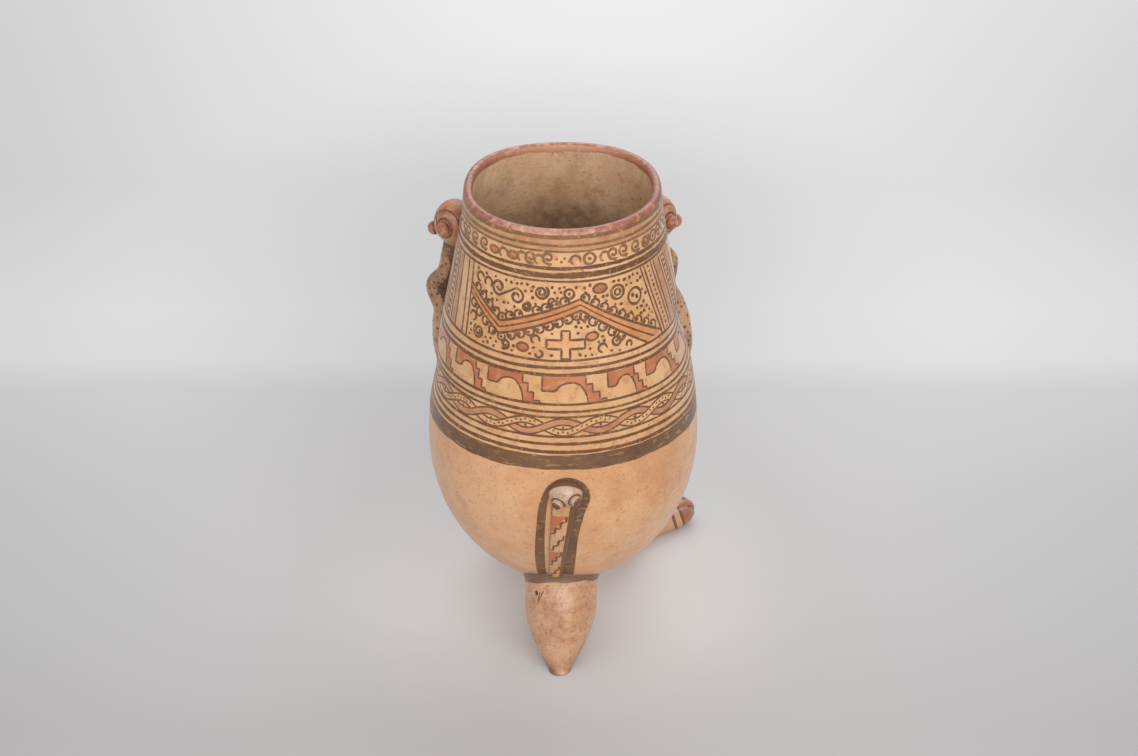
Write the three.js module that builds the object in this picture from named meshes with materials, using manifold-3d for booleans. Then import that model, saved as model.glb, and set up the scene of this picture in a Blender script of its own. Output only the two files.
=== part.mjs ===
// Feline effigy tripod jar in slip-painted earthenware, built as the pieces a potter joins.
// Millimetres. The feline faces -Y, its tail and rear leg are on +Y, and +Z is up.
import * as THREE from "three";
import { mergeVertices } from "three/addons/utils/BufferGeometryUtils.js";
import Module from "manifold-3d";

const wasm = await Module();
wasm.setup();

// Jar
const VESSEL_HEIGHT = 325; // floor to lip
const RIM_RADIUS = 63.5; // outside of the lip
const BELLY_RADIUS = 89.5; // outside of the widest ring
const BELLY_HEIGHT = 145; // floor to the widest ring
const BASE_DEPTH = 106; // widest ring down to the underside
const WALL = 6;
const LIP_TAPER = 0.09; // radius lost for each millimetre of height at the lip
const SEAM_RISE = 27; // widest ring up to the joint between bowl and upper wall
const LIP_HEIGHT = 9; // height of the coil that makes the lip
const SCARF = 5; // height over which a joint in the wall slopes
const LUTE = 0.3; // gap left for the slip that joins two pieces

// Legs, each hollow with loose clay pellets inside
const LEG_WALL = 5;
const LEG_BULGE_RISE = 46; // distance up the leg at which it is widest
const CAVITY_ROUND = 9; // length over which the hollow closes at its lower end
const VENT_RADIUS = 2.2;
const VENT_DROP = 8; // jar down the leg to the vent hole
const VENT_TURN = -41; // degrees round the leg from its outer side
const REAR_LEG_AZIMUTH = 88.3;
const REAR_LEG_REACH = 72; // jar axis to the leg axis at the floor
const REAR_LEG_SPLAY = 29; // degrees from upright
const REAR_TIP_RADIUS = 7.6;
const REAR_BULGE_RADIUS = 24.2;
const REAR_FLOOR = 17; // solid length at the tip
const LEFT_LEG_AZIMUTH = -73;
const RIGHT_LEG_AZIMUTH = -118;
const FRONT_LEG_REACH = 96;
const FRONT_LEG_SPLAY = 23;
const ANKLE_RADIUS = 13.5;
const THIGH_RADIUS = 20.5;
const ANKLE_FLOOR = 8; // solid length above the foot
const PELLET_RADIUS = 4.5; // rattle pellet
const PELLET_GAP = 0.35; // pellet to the hollow and to its fellow

// Feet
const FOOT_LENGTH = 79;
const FOOT_HALF_WIDTH = 16.5;
const FOOT_HEIGHT = 19;
const FOOT_CORE = 8; // height of the widest level of the foot
const HEEL_REACH = 19; // ankle axis back to the heel
const LEFT_FOOT_TURN = 16; // degrees turned out from the leg
const RIGHT_FOOT_TURN = -24;

// Arms, raised beside the neck: each station is a drop below the lip and a distance off the wall
const LEFT_ARM = [
  { azimuth: -26, drop: 155, standoff: 0, radius: 4 },
  { azimuth: -26, drop: 137, standoff: 1, radius: 7 },
  { azimuth: -25, drop: 120, standoff: 2.5, radius: 8.5 },
  { azimuth: -24, drop: 105, standoff: 5, radius: 6.8 },
  { azimuth: -24, drop: 88, standoff: 14.3, radius: 6 },
  { azimuth: -24, drop: 65, standoff: 11, radius: 5 },
  { azimuth: -24, drop: 42, standoff: 8, radius: 5 },
];
const RIGHT_ARM = [
  { azimuth: 206, drop: 155, standoff: 0, radius: 4 },
  { azimuth: 207, drop: 136, standoff: 1, radius: 7 },
  { azimuth: 210, drop: 118, standoff: 2, radius: 8 },
  { azimuth: 216, drop: 101, standoff: 2.5, radius: 6.8 },
  { azimuth: 218, drop: 82, standoff: 14, radius: 6 },
  { azimuth: 218, drop: 65, standoff: 11, radius: 5 },
  { azimuth: 218, drop: 47, standoff: 8, radius: 5 },
];
const PAW_HALF_WIDTH = 14;
const PAW_HALF_HEIGHT = 16.5;
const PAW_BEAD_RADIUS = 4.6;
const PAW_BEADS = [{ turn: 83, lift: 6 }, { turn: 19, lift: -14 }]; // degrees from straight out

// Tail
const TAIL_TOP_AZIMUTH = 91.3;
const TAIL_FOOT_AZIMUTH = 86;
const TAIL_TOP_HEIGHT = 150;
const TAIL_FOOT_HEIGHT = 70;
const TAIL_TOP_HALF_WIDTH = 8.5;
const TAIL_FOOT_HALF_WIDTH = 4.5;
const TAIL_RELIEF = 4; // strap above the wall
const KNOB_HALF_WIDTH = 11;
const KNOB_HALF_HEIGHT = 9.5;
const KNOB_RELIEF = 9;
const TAIL_BEAD_RADIUS = 3.7;
const TAIL_BEADS = [{ turn: 33, lift: -24 }, { turn: -35, lift: -8 }];

// Head
const HEAD_DROP = 80; // lip down to the middle of the head
const HEAD_STANDOFF = 34; // wall to the middle of the head
const HEAD_HALF_WIDTH = 37;
const HEAD_HALF_LENGTH = 33;
const HEAD_HALF_HEIGHT = 31;
const HEAD_WALL = 5;
const NECK_RADIUS = 25;
const MOUTH_HALF_WIDTH = 15;
const MOUTH_TOP = -4; // from the middle of the head
const MOUTH_BOTTOM = -15;
const SNOUT_FORWARD = 27;
const SNOUT_HALF_WIDTH = 22;
const SNOUT_HALF_LENGTH = 24;
const SNOUT_HALF_HEIGHT = 14;
const SNOUT_RISE = -1;
const JAW_FORWARD = 24;
const JAW_HALF_WIDTH = 19;
const JAW_HALF_LENGTH = 24;
const JAW_DEPTH = 11; // jaw below the mouth
const TONGUE_HALF_WIDTH = 5.5;
const TONGUE_BACK = 20; // from the middle of the head
const TONGUE_TIP = 50;
const TONGUE_THICKNESS = 3;
const UPPER_FANG = { across: 12, forward: 43, radius: 2.6, length: 9 };
const LOWER_FANG = { across: 9, forward: 37, radius: 2.4, length: 8 };
const NOSE_HALF_WIDTH = 8;
const NOSE_RADIUS = 5.5;
const NOSE_LIFT = 35; // degrees above straight ahead on the snout
const EYE_RADIUS = 6.5;
const EYE_TURN = 38; // degrees from straight ahead
const EYE_LIFT = 36;
const LID_RADIUS = 2;
const EAR_TURN = 90;
const EAR_LIFT = 52;
const EAR_HALF_WIDTH = 11;
const EAR_HALF_DEPTH = 5.5;
const EAR_LENGTH = 15;
const EAR_DISH = 3.5; // depth of the hollow in the ear

const JAR_SIDES = 40;
const BOWL_STEPS = 10;
const WALL_STEPS = 6;
const HOLLOW_SIDES = 14;
const HOLLOW_STEPS = 8;
const WELD = 1e-4;
const UP = new THREE.Vector3(0, 0, 1);

const ware = (color, roughness) => new THREE.MeshStandardMaterial({ color, roughness, metalness: 0 });
const BUFF = ware(0xd8a273, 0.5);
const RED_SLIP = ware(0xa8503a, 0.5);
const CREAM_SLIP = ware(0xdfb584, 0.5);
const DARK_SLIP = ware(0x4b3a2c, 0.55);
const BARE_CLAY = ware(0xb98a62, 0.8);

const vessel = new THREE.Group();
vessel.name = "feline_effigy_jar";
const pieces = new THREE.Group();
vessel.add(pieces);

// A closed geometry as a body that can be joined and cut
function solid(geometry) {
  const bare = geometry.clone();
  bare.deleteAttribute("normal");
  bare.deleteAttribute("uv");
  const welded = mergeVertices(bare, WELD);
  const vertProperties = new Float32Array(welded.attributes.position.array);
  const triVerts = new Uint32Array(welded.index.array);
  return new wasm.Manifold(new wasm.Mesh({ numProp: 3, vertProperties, triVerts }));
}

function add(name, body, finish) {
  const { vertProperties, triVerts } = body.getMesh();
  const geometry = new THREE.BufferGeometry();
  geometry.setAttribute("position", new THREE.BufferAttribute(vertProperties, 3));
  geometry.setIndex(new THREE.BufferAttribute(triVerts, 1));
  geometry.computeVertexNormals();
  const mesh = new THREE.Mesh(geometry, finish);
  mesh.name = name;
  pieces.add(mesh);
}

// Unit vector at an azimuth and an elevation in degrees
function heading(azimuth, elevation = 0) {
  const turn = THREE.MathUtils.degToRad(azimuth);
  const lift = THREE.MathUtils.degToRad(elevation);
  return new THREE.Vector3(Math.cos(turn) * Math.cos(lift), Math.sin(turn) * Math.cos(lift), Math.sin(lift));
}

// A cylinder whose rings are moved along a path and drawn out to their own width and depth
function limb(sides, steps, section) {
  const geometry = new THREE.CylinderGeometry(1, 1, 1, sides, steps);
  const position = geometry.attributes.position;
  const point = new THREE.Vector3();
  for (let i = 0; i < position.count; i++) {
    point.fromBufferAttribute(position, i);
    const ring = section(point.y + 0.5);
    const across = new THREE.Vector3().crossVectors(ring.along, ring.out).normalize();
    const out = new THREE.Vector3().crossVectors(across, ring.along).normalize();
    const moved = ring.centre.clone();
    moved.addScaledVector(across, point.x * ring.width).addScaledVector(out, point.z * ring.depth);
    position.setXYZ(i, moved.x, moved.y, moved.z);
  }
  return solid(geometry);
}

function ellipsoid(centre, radii, sides, rings) {
  const geometry = new THREE.SphereGeometry(1, sides, rings).rotateX(Math.PI / 2);
  geometry.scale(radii.x, radii.y, radii.z).translate(centre.x, centre.y, centre.z);
  return solid(geometry);
}

// A bead pressed on a body: the part of a ball that stands clear of it
function bead(centre, radius, keepOut) {
  return ellipsoid(centre, new THREE.Vector3(radius, radius, radius), 10, 6).subtract(keepOut);
}

// Box between two corners, used to cut
function block(low, high) {
  const size = new THREE.Vector3().subVectors(high, low);
  const middle = new THREE.Vector3().addVectors(low, high).multiplyScalar(0.5);
  return solid(new THREE.BoxGeometry(size.x, size.y, size.z).translate(middle.x, middle.y, middle.z));
}

// Geometry made along +Y, turned to point along a direction from a start
function aimed(geometry, start, direction) {
  const turn = new THREE.Quaternion().setFromUnitVectors(new THREE.Vector3(0, 1, 0), direction);
  return geometry.applyQuaternion(turn).translate(start.x, start.y, start.z);
}

// Jar wall: half an ellipse below the widest ring, a smooth taper above it
function outerRadius(z) {
  if (z <= BELLY_HEIGHT) {
    const fall = Math.min(1, (BELLY_HEIGHT - z) / BASE_DEPTH);
    return BELLY_RADIUS * Math.sqrt(1 - fall * fall);
  }
  const rise = VESSEL_HEIGHT - BELLY_HEIGHT;
  const t = (z - BELLY_HEIGHT) / rise;
  const blend = t * t * (3 - 2 * t);
  return BELLY_RADIUS + (RIM_RADIUS - BELLY_RADIUS) * blend + LIP_TAPER * rise * (t * t - t * t * t);
}

function bowlLine(radius, depth, steps) {
  const curve = new THREE.EllipseCurve(0, BELLY_HEIGHT, radius, depth, -Math.PI / 2, 0);
  const points = curve.getPoints(steps);
  points[0].x = 0;
  return points;
}

function wallLine(low, high, steps, inset) {
  const points = [];
  for (let i = 0; i <= steps; i++) {
    const z = low + ((high - low) * i) / steps;
    points.push(new THREE.Vector2(outerRadius(z) - inset, z));
  }
  return points;
}

function turned(points) {
  return solid(new THREE.LatheGeometry(points, JAR_SIDES).rotateX(Math.PI / 2));
}

const seam = BELLY_HEIGHT + SEAM_RISE;
const lipFoot = VESSEL_HEIGHT - LIP_HEIGHT;
const lipRound = WALL / 2;
const halfScarf = SCARF / 2;
const jointGap = (LUTE * Math.hypot(SCARF, WALL)) / WALL;

const bowl = turned([
  ...bowlLine(BELLY_RADIUS, BASE_DEPTH, BOWL_STEPS),
  ...wallLine(BELLY_HEIGHT, seam - halfScarf, 2, 0).slice(1),
  ...wallLine(BELLY_HEIGHT, seam + halfScarf, 2, WALL).slice(1).reverse(),
  ...bowlLine(BELLY_RADIUS - WALL, BASE_DEPTH - WALL, BOWL_STEPS).reverse(),
]);

const wallOutside = wallLine(seam - halfScarf + jointGap, lipFoot - halfScarf, WALL_STEPS, 0);
const wallInside = wallLine(seam + halfScarf + jointGap, lipFoot + halfScarf, WALL_STEPS, WALL).reverse();
const upperWall = turned([...wallOutside, ...wallInside, wallOutside[0]]);

const lipTop = VESSEL_HEIGHT - lipRound;
const lipMiddle = outerRadius(lipTop) - lipRound;
const lipArc = new THREE.EllipseCurve(lipMiddle, lipTop, lipRound, lipRound, 0, Math.PI).getPoints(6);
const lipOutside = wallLine(lipFoot - halfScarf + jointGap, lipTop, 1, 0).slice(0, 1);
const lipInside = wallLine(lipFoot + halfScarf + jointGap, lipTop, 1, WALL).slice(0, 1);
const rim = turned([...lipOutside, ...lipArc, ...lipInside, lipOutside[0]]);

// The filled jar, grown by the joint, that every luted piece is cut back to
const jarOutline = [
  ...bowlLine(BELLY_RADIUS + LUTE, BASE_DEPTH + LUTE, BOWL_STEPS),
  ...wallLine(BELLY_HEIGHT, seam - halfScarf, 2, -LUTE).slice(1),
  ...wallLine(seam - halfScarf + jointGap, lipFoot - halfScarf, WALL_STEPS, -LUTE),
  new THREE.Vector2(RIM_RADIUS + LUTE, VESSEL_HEIGHT + LUTE),
  new THREE.Vector2(0, VESSEL_HEIGHT + LUTE),
];
const jarKeepOut = turned(jarOutline);
const floorKeepOut = block(new THREE.Vector3(-400, -400, -60), new THREE.Vector3(400, 400, 0));

// Straight line of a leg from the floor up into the jar
function legLine(azimuth, reach, splay) {
  const ground = heading(azimuth).multiplyScalar(reach);
  const along = heading(azimuth + 180, 90 - splay);
  const out = heading(azimuth, splay);
  const at = (s) => ground.clone().addScaledVector(along, s);
  const inside = (p) => p.z > BELLY_HEIGHT - BASE_DEPTH && Math.hypot(p.x, p.y) < outerRadius(p.z);
  let meets = 0;
  while (meets < VESSEL_HEIGHT && !inside(at(meets))) {
    meets += 0.5;
  }
  return { azimuth, at, along, out, meets };
}

// Radius of a leg: narrow at its lower end, swelling to the bulge
function legRadius(s, low, high) {
  const share = THREE.MathUtils.clamp(s / LEG_BULGE_RISE, 0, 1);
  return low + (high - low) * Math.sin((Math.PI / 2) * share);
}

// Outline of the hollow in a leg, closer spaced where it rounds off at its lower end
function hollowLine(floor, end, low, high) {
  const points = [];
  for (let i = 0; i <= HOLLOW_STEPS; i++) {
    const s = floor + (end - floor) * Math.pow(i / HOLLOW_STEPS, 2);
    const open = THREE.MathUtils.clamp((s - floor) / CAVITY_ROUND, 0, 1);
    const radius = (legRadius(s, low, high) - LEG_WALL) * Math.sqrt(1 - (1 - open) * (1 - open));
    points.push(new THREE.Vector3(radius, s, 0));
  }
  return points;
}

function legRing(line, s, radius) {
  return { centre: line.at(s), along: line.along, out: line.out, width: radius, depth: radius };
}

function legTube(line, from, to, radiusAt) {
  return limb(18, 9, (t) => {
    const s = THREE.MathUtils.lerp(from, to, t);
    return legRing(line, s, radiusAt(s));
  });
}

// Hollow leg with a vent, open at the top against the jar
function hollowLeg(line, start, floor, low, high, keepOut) {
  const end = line.meets + high;
  const outside = legTube(line, start, end, (s) => legRadius(s, low, high));
  const stations = hollowLine(floor, end + 1, low, high);
  const hollow = limb(HOLLOW_SIDES, HOLLOW_STEPS, (t) => {
    const station = stations[Math.round(t * HOLLOW_STEPS)];
    return legRing(line, station.y, station.x);
  });
  const spin = new THREE.Quaternion().setFromAxisAngle(line.along, THREE.MathUtils.degToRad(VENT_TURN));
  const bore = new THREE.CylinderGeometry(VENT_RADIUS, VENT_RADIUS, high, 10).translate(0, high * 0.7, 0);
  const vent = solid(aimed(bore, line.at(line.meets - VENT_DROP), line.out.clone().applyQuaternion(spin)));
  return outside.subtract(hollow).subtract(vent).subtract(jarKeepOut).subtract(keepOut);
}

// Lowest place in the hollow for a pellet set off to one side of the leg axis
function pelletRest(line, floor, low, high, offset) {
  const clear = PELLET_RADIUS + PELLET_GAP;
  const flats = Math.cos(Math.PI / HOLLOW_SIDES);
  const stations = hollowLine(floor, line.meets + high + 1, low, high);
  const touches = (s) => {
    const centre = new THREE.Vector3(offset, s, 0);
    return stations.slice(1).some((station, i) => {
      const lower = new THREE.Vector3(stations[i].x * flats, stations[i].y, 0);
      const upper = new THREE.Vector3(station.x * flats, station.y, 0);
      const slope = new THREE.Line3(lower, upper);
      const near = slope.closestPointToPoint(centre, true, new THREE.Vector3());
      return near.distanceTo(centre) < clear;
    });
  };
  let rest = floor + clear;
  while (rest < line.meets && touches(rest)) {
    rest += 0.1;
  }
  return rest;
}

function addPellets(name, line, floor, low, high) {
  const offset = PELLET_RADIUS + PELLET_GAP / 2;
  const across = new THREE.Vector3().crossVectors(line.along, line.out);
  const rest = pelletRest(line, floor, low, high, offset);
  [1, -1].forEach((side, index) => {
    const centre = line.at(rest).addScaledVector(across, side * offset);
    const ball = new THREE.IcosahedronGeometry(PELLET_RADIUS, 1).translate(centre.x, centre.y, centre.z);
    add(`${name}_rattle_${index + 1}`, solid(ball), BARE_CLAY);
  });
}

// Foot: a loaf from heel to toe with a flat sole
function foot(line, turn, grow) {
  const ahead = heading(line.azimuth + turn);
  const heel = line.at(0).addScaledVector(ahead, -HEEL_REACH - grow);
  const length = FOOT_LENGTH + 2 * grow;
  const body = limb(16, 11, (t) => {
    const swell = 0.82 + 0.18 * Math.sin(Math.PI * Math.min(1, t * 0.85));
    const round = Math.pow(1 - Math.pow(Math.abs(2 * t - 1), 3.2), 1 / 2.6);
    const centre = heel.clone().addScaledVector(ahead, length * t).setZ(FOOT_CORE);
    const width = (FOOT_HALF_WIDTH + grow) * swell * round;
    const depth = (FOOT_HEIGHT - FOOT_CORE + grow) * round;
    return { centre, along: ahead, out: UP, width, depth };
  });
  return grow > 0 ? body : body.subtract(floorKeepOut);
}

function addFrontLeg(name, azimuth, turn) {
  const line = legLine(azimuth, FRONT_LEG_REACH, FRONT_LEG_SPLAY);
  const floor = FOOT_HEIGHT / line.along.z + ANKLE_FLOOR;
  const leg = hollowLeg(line, FOOT_CORE, floor, ANKLE_RADIUS, THIGH_RADIUS, foot(line, turn, LUTE));
  add(`${name}_leg`, leg, BUFF);
  add(`${name}_foot`, foot(line, turn, 0), RED_SLIP);
  addPellets(`${name}_leg`, line, floor, ANKLE_RADIUS, THIGH_RADIUS);
}

// Point off the jar wall at an azimuth, a drop below the lip and a distance out
function offWall(azimuth, drop, standoff) {
  const z = VESSEL_HEIGHT - drop;
  return heading(azimuth).multiplyScalar(outerRadius(z) + standoff).setZ(z);
}

function addArm(name, side, stations) {
  const places = stations.map((station) => offWall(station.azimuth, station.drop, station.standoff));
  const path = new THREE.CatmullRomCurve3(places);
  const girth = new THREE.SplineCurve(stations.map((station, i) => new THREE.Vector2(i, station.radius)));
  const tube = limb(12, 18, (t) => {
    const centre = path.getPoint(t);
    const radius = girth.getPoint(t).y;
    const out = new THREE.Vector3(centre.x, centre.y, 0).normalize();
    return { centre, along: path.getTangent(t), out, width: radius, depth: radius };
  });

  // The last station is the middle of the paw
  const wrist = stations[stations.length - 1];
  const middle = places[places.length - 1];
  const pawRadii = new THREE.Vector3(PAW_HALF_WIDTH, PAW_HALF_WIDTH, PAW_HALF_HEIGHT);
  const pawKeepOut = ellipsoid(middle, pawRadii.clone().addScalar(LUTE), 16, 10);
  add(`${name}_arm`, tube.subtract(jarKeepOut).subtract(pawKeepOut), BUFF);
  add(`${name}_paw`, ellipsoid(middle, pawRadii, 16, 10).subtract(jarKeepOut), RED_SLIP);
  PAW_BEADS.forEach((spot, index) => {
    const reach = heading(wrist.azimuth + side * spot.turn, spot.lift).multiply(pawRadii);
    const body = bead(reach.add(middle), PAW_BEAD_RADIUS, pawKeepOut).subtract(jarKeepOut);
    add(`${name}_paw_bead_${index + 1}`, body, RED_SLIP);
  });
}

// Tail: a tapering strap up the back of the bowl, ending in a knob with two beads
function knobBody(grow) {
  const reach = outerRadius(TAIL_TOP_HEIGHT);
  const centre = heading(TAIL_TOP_AZIMUTH).multiplyScalar(reach).setZ(TAIL_TOP_HEIGHT);
  const radii = new THREE.Vector3(KNOB_HALF_WIDTH, KNOB_RELIEF, KNOB_HALF_HEIGHT).addScalar(grow);
  return { centre, body: ellipsoid(centre, radii, 16, 10) };
}

function addTail(rearLeg) {
  const strap = limb(12, 12, (t) => {
    const z = THREE.MathUtils.lerp(TAIL_FOOT_HEIGHT, TAIL_TOP_HEIGHT, t);
    const azimuth = THREE.MathUtils.lerp(TAIL_FOOT_AZIMUTH, TAIL_TOP_AZIMUTH, t);
    const slope = outerRadius(z + 0.5) - outerRadius(z - 0.5);
    const centre = heading(azimuth).multiplyScalar(outerRadius(z)).setZ(z);
    const along = heading(azimuth).multiplyScalar(slope).setZ(1).normalize();
    const width = THREE.MathUtils.lerp(TAIL_FOOT_HALF_WIDTH, TAIL_TOP_HALF_WIDTH, t);
    return { centre, along, out: heading(azimuth), width, depth: TAIL_RELIEF };
  });
  const knob = knobBody(0);
  const knobKeepOut = knobBody(LUTE).body;
  add("tail_strap", strap.subtract(jarKeepOut).subtract(knobKeepOut).subtract(rearLeg), CREAM_SLIP);
  add("tail_knob", knob.body.subtract(jarKeepOut), CREAM_SLIP);
  TAIL_BEADS.forEach((spot, index) => {
    const out = heading(TAIL_TOP_AZIMUTH - spot.turn, spot.lift);
    const reach = new THREE.Vector3(KNOB_HALF_WIDTH, KNOB_RELIEF, KNOB_HALF_HEIGHT).multiply(out);
    const body = bead(reach.add(knob.centre), TAIL_BEAD_RADIUS, knobKeepOut).subtract(jarKeepOut);
    add(`tail_bead_${index + 1}`, body, DARK_SLIP);
  });
}

// Head, in its own terms: across is +X, forward is -Y and height is +Z from the middle of the head
const headHeight = VESSEL_HEIGHT - HEAD_DROP;
const headReach = outerRadius(headHeight) + HEAD_STANDOFF;

function onHead(across, forward, height) {
  return new THREE.Vector3(across, -headReach - forward, headHeight + height);
}

function skull(grow) {
  const radii = new THREE.Vector3(HEAD_HALF_WIDTH, HEAD_HALF_LENGTH, HEAD_HALF_HEIGHT).addScalar(grow);
  return ellipsoid(onHead(0, 0, 0), radii, 24, 12);
}

function neckBar(radius) {
  const bar = new THREE.CylinderGeometry(radius, radius, headReach, 20).translate(0, headReach / 2, 0);
  return solid(aimed(bar, onHead(0, 0, 0), new THREE.Vector3(0, 1, 0)));
}

function snoutBody(grow) {
  const radii = new THREE.Vector3(SNOUT_HALF_WIDTH, SNOUT_HALF_LENGTH, SNOUT_HALF_HEIGHT).addScalar(grow);
  return ellipsoid(onHead(0, SNOUT_FORWARD, SNOUT_RISE), radii, 18, 10);
}

// Point on an ellipsoid of the head, with its outward direction
function onEllipsoid(middle, radii, turn, lift) {
  const out = heading(-90 + turn, lift);
  return { point: out.clone().multiply(radii).add(middle), out: out.clone().divide(radii).normalize() };
}

function addHead() {
  const skullKeepOut = skull(LUTE);
  const snoutKeepOut = snoutBody(LUTE);
  const skullRadii = new THREE.Vector3(HEAD_HALF_WIDTH, HEAD_HALF_LENGTH, HEAD_HALF_HEIGHT);
  const far = HEAD_HALF_LENGTH + SNOUT_HALF_LENGTH + 40;
  const slot = block(
    onHead(-MOUTH_HALF_WIDTH, far, MOUTH_BOTTOM),
    onHead(MOUTH_HALF_WIDTH, 0, MOUTH_TOP),
  );
  const shell = skull(0).add(neckBar(NECK_RADIUS));
  const hollow = skull(-HEAD_WALL).add(neckBar(NECK_RADIUS - HEAD_WALL));
  add("head_shell", shell.subtract(hollow).subtract(slot).subtract(jarKeepOut), BUFF);

  const belowMouthTop = block(onHead(-80, far, -90), onHead(80, -far, MOUTH_TOP));
  add("upper_jaw", snoutBody(0).subtract(skullKeepOut).subtract(belowMouthTop), BUFF);

  const jawRadii = new THREE.Vector3(JAW_HALF_WIDTH, JAW_HALF_LENGTH, JAW_DEPTH);
  const aboveMouthBottom = block(onHead(-80, far, MOUTH_BOTTOM), onHead(80, -far, 90));
  const jaw = ellipsoid(onHead(0, JAW_FORWARD, MOUTH_BOTTOM), jawRadii, 18, 10);
  add("lower_jaw", jaw.subtract(skullKeepOut).subtract(aboveMouthBottom), BUFF);

  const outline = new THREE.Shape();
  outline.moveTo(-TONGUE_HALF_WIDTH, TONGUE_BACK);
  outline.lineTo(TONGUE_HALF_WIDTH, TONGUE_BACK);
  outline.absarc(0, TONGUE_TIP - TONGUE_HALF_WIDTH, TONGUE_HALF_WIDTH, 0, Math.PI);
  const flat = { depth: TONGUE_THICKNESS, bevelEnabled: false, curveSegments: 8 };
  const strip = new THREE.ExtrudeGeometry(outline, flat);
  const tongueBase = onHead(0, 0, MOUTH_BOTTOM + LUTE);
  strip.rotateX(Math.PI).translate(0, tongueBase.y, tongueBase.z + TONGUE_THICKNESS);
  add("tongue", solid(strip), RED_SLIP);

  [["left", 1], ["right", -1]].forEach(([name, side]) => {
    const upperCone = new THREE.ConeGeometry(UPPER_FANG.radius, UPPER_FANG.length, 10);
    upperCone.translate(0, UPPER_FANG.length / 2, 0);
    const upperAt = onHead(side * UPPER_FANG.across, UPPER_FANG.forward, MOUTH_TOP - LUTE);
    add(`${name}_upper_fang`, solid(aimed(upperCone, upperAt, new THREE.Vector3(0, 0, -1))), CREAM_SLIP);

    const lowerCone = new THREE.ConeGeometry(LOWER_FANG.radius, LOWER_FANG.length, 10);
    lowerCone.translate(0, LOWER_FANG.length / 2, 0);
    const lowerAt = onHead(side * LOWER_FANG.across, LOWER_FANG.forward, MOUTH_BOTTOM + LUTE);
    add(`${name}_lower_fang`, solid(aimed(lowerCone, lowerAt, UP)), CREAM_SLIP);

    const eye = onEllipsoid(onHead(0, 0, 0), skullRadii, side * EYE_TURN, EYE_LIFT);
    add(`${name}_eye`, bead(eye.point, EYE_RADIUS, skullKeepOut).subtract(snoutKeepOut), CREAM_SLIP);

    const lidReach = EYE_RADIUS + LUTE + LID_RADIUS * 1.2;
    const ring = new THREE.TorusGeometry(lidReach, LID_RADIUS, 6, 18).rotateX(-Math.PI / 2);
    const lid = solid(aimed(ring, eye.point, eye.out));
    add(`${name}_eyelid`, lid.subtract(skullKeepOut).subtract(snoutKeepOut), DARK_SLIP);

    const ear = onEllipsoid(onHead(0, 0, 0), skullRadii, side * EAR_TURN, EAR_LIFT);
    const cup = new THREE.SphereGeometry(1, 14, 8).scale(EAR_HALF_WIDTH, EAR_LENGTH, EAR_HALF_DEPTH);
    const dish = new THREE.SphereGeometry(1, 14, 8);
    dish.scale(EAR_HALF_WIDTH * 0.68, EAR_LENGTH * 0.68, EAR_DISH * 2);
    dish.translate(0, EAR_LENGTH * 0.12, EAR_HALF_DEPTH + EAR_DISH);
    const face = new THREE.Matrix4().makeBasis(
      new THREE.Vector3().crossVectors(ear.out, new THREE.Vector3(0, -1, 0)).normalize(),
      ear.out,
      new THREE.Vector3(0, -1, 0),
    ).setPosition(ear.point);
    const earBody = solid(cup.applyMatrix4(face)).subtract(solid(dish.applyMatrix4(face)));
    add(`${name}_ear`, earBody.subtract(skullKeepOut), BUFF);
  });

  const noseRadii = new THREE.Vector3(SNOUT_HALF_WIDTH, SNOUT_HALF_LENGTH, SNOUT_HALF_HEIGHT);
  const tip = onEllipsoid(onHead(0, SNOUT_FORWARD, SNOUT_RISE), noseRadii, 0, NOSE_LIFT);
  const nose = ellipsoid(tip.point, new THREE.Vector3(NOSE_HALF_WIDTH, NOSE_RADIUS, NOSE_RADIUS), 12, 8);
  add("nose", nose.subtract(snoutKeepOut), DARK_SLIP);
}

add("jar_lower_bowl", bowl, BUFF);
add("jar_upper_wall", upperWall, CREAM_SLIP);
add("rim_coil", rim, RED_SLIP);

const rearLine = legLine(REAR_LEG_AZIMUTH, REAR_LEG_REACH, REAR_LEG_SPLAY);
const rearLeg = hollowLeg(rearLine, -8, REAR_FLOOR, REAR_TIP_RADIUS, REAR_BULGE_RADIUS, floorKeepOut);
const rearEnd = rearLine.meets + REAR_BULGE_RADIUS;
const rearRadius = (s) => legRadius(s, REAR_TIP_RADIUS, REAR_BULGE_RADIUS);
const rearKeepOut = legTube(rearLine, 0, rearEnd, (s) => rearRadius(s) + LUTE);
add("rear_leg", rearLeg, BUFF);
addPellets("rear_leg", rearLine, REAR_FLOOR, REAR_TIP_RADIUS, REAR_BULGE_RADIUS);
addFrontLeg("left_hind", LEFT_LEG_AZIMUTH, LEFT_FOOT_TURN);
addFrontLeg("right_hind", RIGHT_LEG_AZIMUTH, RIGHT_FOOT_TURN);
addTail(rearKeepOut);
addArm("left", 1, LEFT_ARM);
addArm("right", -1, RIGHT_ARM);
addHead();

// The origin is under the middle of the whole vessel, on the floor
const bounds = new THREE.Box3().setFromObject(pieces);
const middle = bounds.getCenter(new THREE.Vector3());
pieces.position.set(-middle.x, -middle.y, -bounds.min.z);

export default vessel;
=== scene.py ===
"""Slip-painted earthenware tripod jar in the form of a feline, dressed for rendering.

Sizes are millimetres in the jar's own frame: the jar's axis is x = y = 0, the floor is z = 0, the
feline faces -Y and azimuth 90 degrees is its tail side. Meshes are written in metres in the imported
model's frame.
"""
import logging
from dataclasses import dataclass, field
from enum import Enum
from typing import Any

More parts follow.
